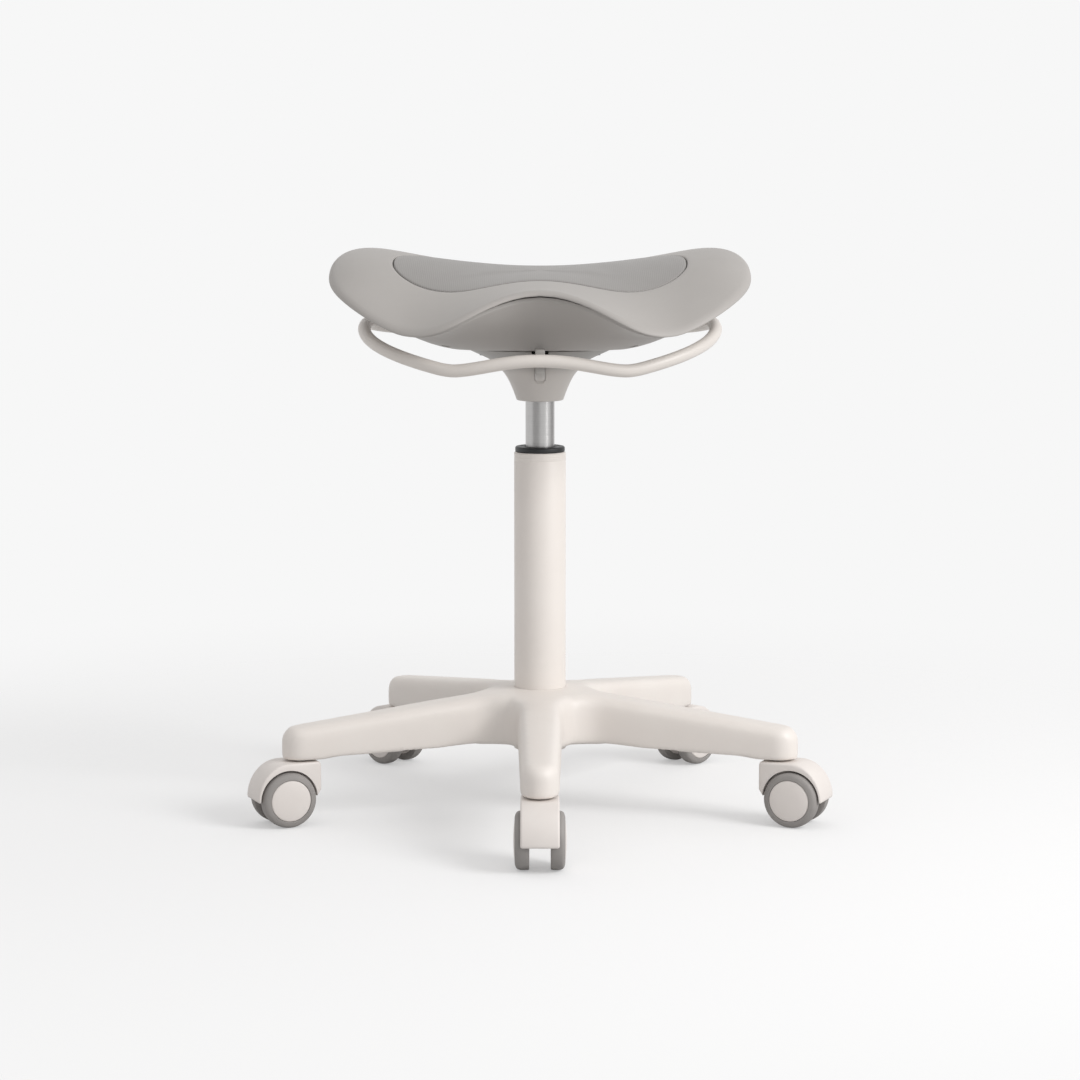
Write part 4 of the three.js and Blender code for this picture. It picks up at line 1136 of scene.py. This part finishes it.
# %% Steel for the hardware
hardware = {name: node for name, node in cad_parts.items() if name not in dressed_nodes}
for name, node in hardware.items():
    node.data.materials.clear()
    node.data.materials.append(chromed_steel if name == "piston_rod" else zinc_steel)
print(len(hardware), "solids keep their shapes")

# %% [markdown]
# ## Studio
# The stool stands on a pale floor that fades into a white surround, as on a paper sweep. The floor
# is matt and keeps the stool's shadows near it. Further out it turns transparent and the white
# world shows, so no horizon does.

# %% Floor
FADE_FROM, FADE_TO, LIFT = 0.3, 1.3, 0.36


def blended(tree, share, first, second):
    """Two shaders, mixed by a share from 0 to 1."""
    return add(tree, "ShaderNodeMixShader", {0: share, 1: first, 2: second}).outputs["Shader"]


def matt(tree, code):
    return add(tree, "ShaderNodeBsdfDiffuse", {"Color": linear(code)}).outputs["BSDF"]


floor = new(bpy.ops.mesh.primitive_plane_add, "floor", size=12)
paper, tree = new_material("paper_sweep")
away = add(tree, "ShaderNodeVectorMath", {0: on_piece(tree)}, operation="LENGTH")
fade = ramped(tree, away.outputs["Value"], FADE_FROM, FADE_TO)
seen = add(tree, "ShaderNodeLightPath").outputs["Is Camera Ray"]
lift = add(tree, "ShaderNodeMath", {0: seen, 1: LIFT}, operation="MULTIPLY").outputs["Value"]
glow = add(tree, "ShaderNodeEmission", {"Color": linear("#FAFAFA"), "Strength": 1.0})
lifted = blended(tree, lift, matt(tree, "#F8F8F8"), glow.outputs["Emission"])
near = blended(tree, seen, matt(tree, "#D4D4D4"), lifted)
clear = add(tree, "ShaderNodeBsdfTransparent").outputs["BSDF"]
add(tree, "ShaderNodeOutputMaterial", {"Surface": blended(tree, fade, near, clear)})
floor.data.materials.append(paper)
print("floor is", round(floor.dimensions.x), "m wide")

# %% [markdown]
# The world is white to the camera and to glossy rays, and a softer grey to everything else, so the
# background stays white while the stool is lit mainly by the lamps. The Standard view shows every
# colour as it is, with no film curve.

# %% World
world = bpy.data.worlds.new("studio")
bpy.context.scene.world = world
world.use_nodes = True
tree = world.node_tree
tree.nodes.clear()
path = add(tree, "ShaderNodeLightPath").outputs
shows = path["Is Camera Ray"]
for ray in ("Is Transmission Ray", "Is Glossy Ray"):
    shows = add(tree, "ShaderNodeMath", {0: shows, 1: path[ray]}, operation="MAXIMUM").outputs[0]
ambient, white = [add(tree, "ShaderNodeBackground", {"Color": linear(code), "Strength": strength})
                  for code, strength in (("#F6F5F5", 0.73), ("#F7F7F7", 1.0))]
add(tree, "ShaderNodeOutputWorld", {"Surface": blended(
    tree, shows, ambient.outputs["Background"], white.outputs["Background"])})
bpy.context.scene.view_settings.view_transform = "Standard"
print("world:", world.name)

# %% [markdown]
# ## Lamps and cards
# One large soft box stands to the right, in front and a little above. It makes the right side of
# the column brighter than the left and throws the soft shadow to the left. A narrow strip light
# stands lower on the same side and draws the bright line down the steel tube.

# %% Lamps
def point_at(thing, side, height):
    """Turns one side of a lamp or a card towards a height above the origin."""
    aim = Vector((0, 0, height)) - thing.location
    thing.rotation_euler = aim.to_track_quat(side, "Y").to_euler()


def lamp(name, location, height, width, length, watts):
    light = new(bpy.ops.object.light_add, name, type="AREA", location=location)
    light.data.shape = "RECTANGLE"
    light.data.size, light.data.size_y = width, length
    light.data.energy = watts
    point_at(light, "-Z", height)
    print(name, "at", round(light.location.length, 2), "m")


lamp("key_box", (2.22, -1.34, 1.8), 0.3, 1.3, 1.3, 52)
lamp("strip_light", (2.2, -1.4, 0.45), 0.45, 0.2, 1.0, 2.4)

# %% [markdown]
# Two grey cards stand beside the camera, seen by reflections alone. The bright steel tube mirrors
# them as the darker streaks that a photographer's flags give it.

# %% Cards
card_paper, tree = new_material("grey_card_paper")
add(tree, "ShaderNodeOutputMaterial", {"Surface": matt(tree, "#CFCFCF")})


def card(name, location, width, height):
    """A grey panel that faces the stool and shows only in reflections."""
    panel = new(bpy.ops.mesh.primitive_plane_add, name, size=1, location=location)
    panel.scale = (width, height, 1)
    point_at(panel, "Z", location[2])
    panel.visible_diffuse = False
    panel.visible_shadow = False
    panel.data.materials.append(card_paper)


card("card_left_front", (-1.3, -2.25, 0.6), 2.8, 2.2)
card("card_right_rear", (2.72, 1.0, 0.5), 2.0, 1.6)
print("cards placed")
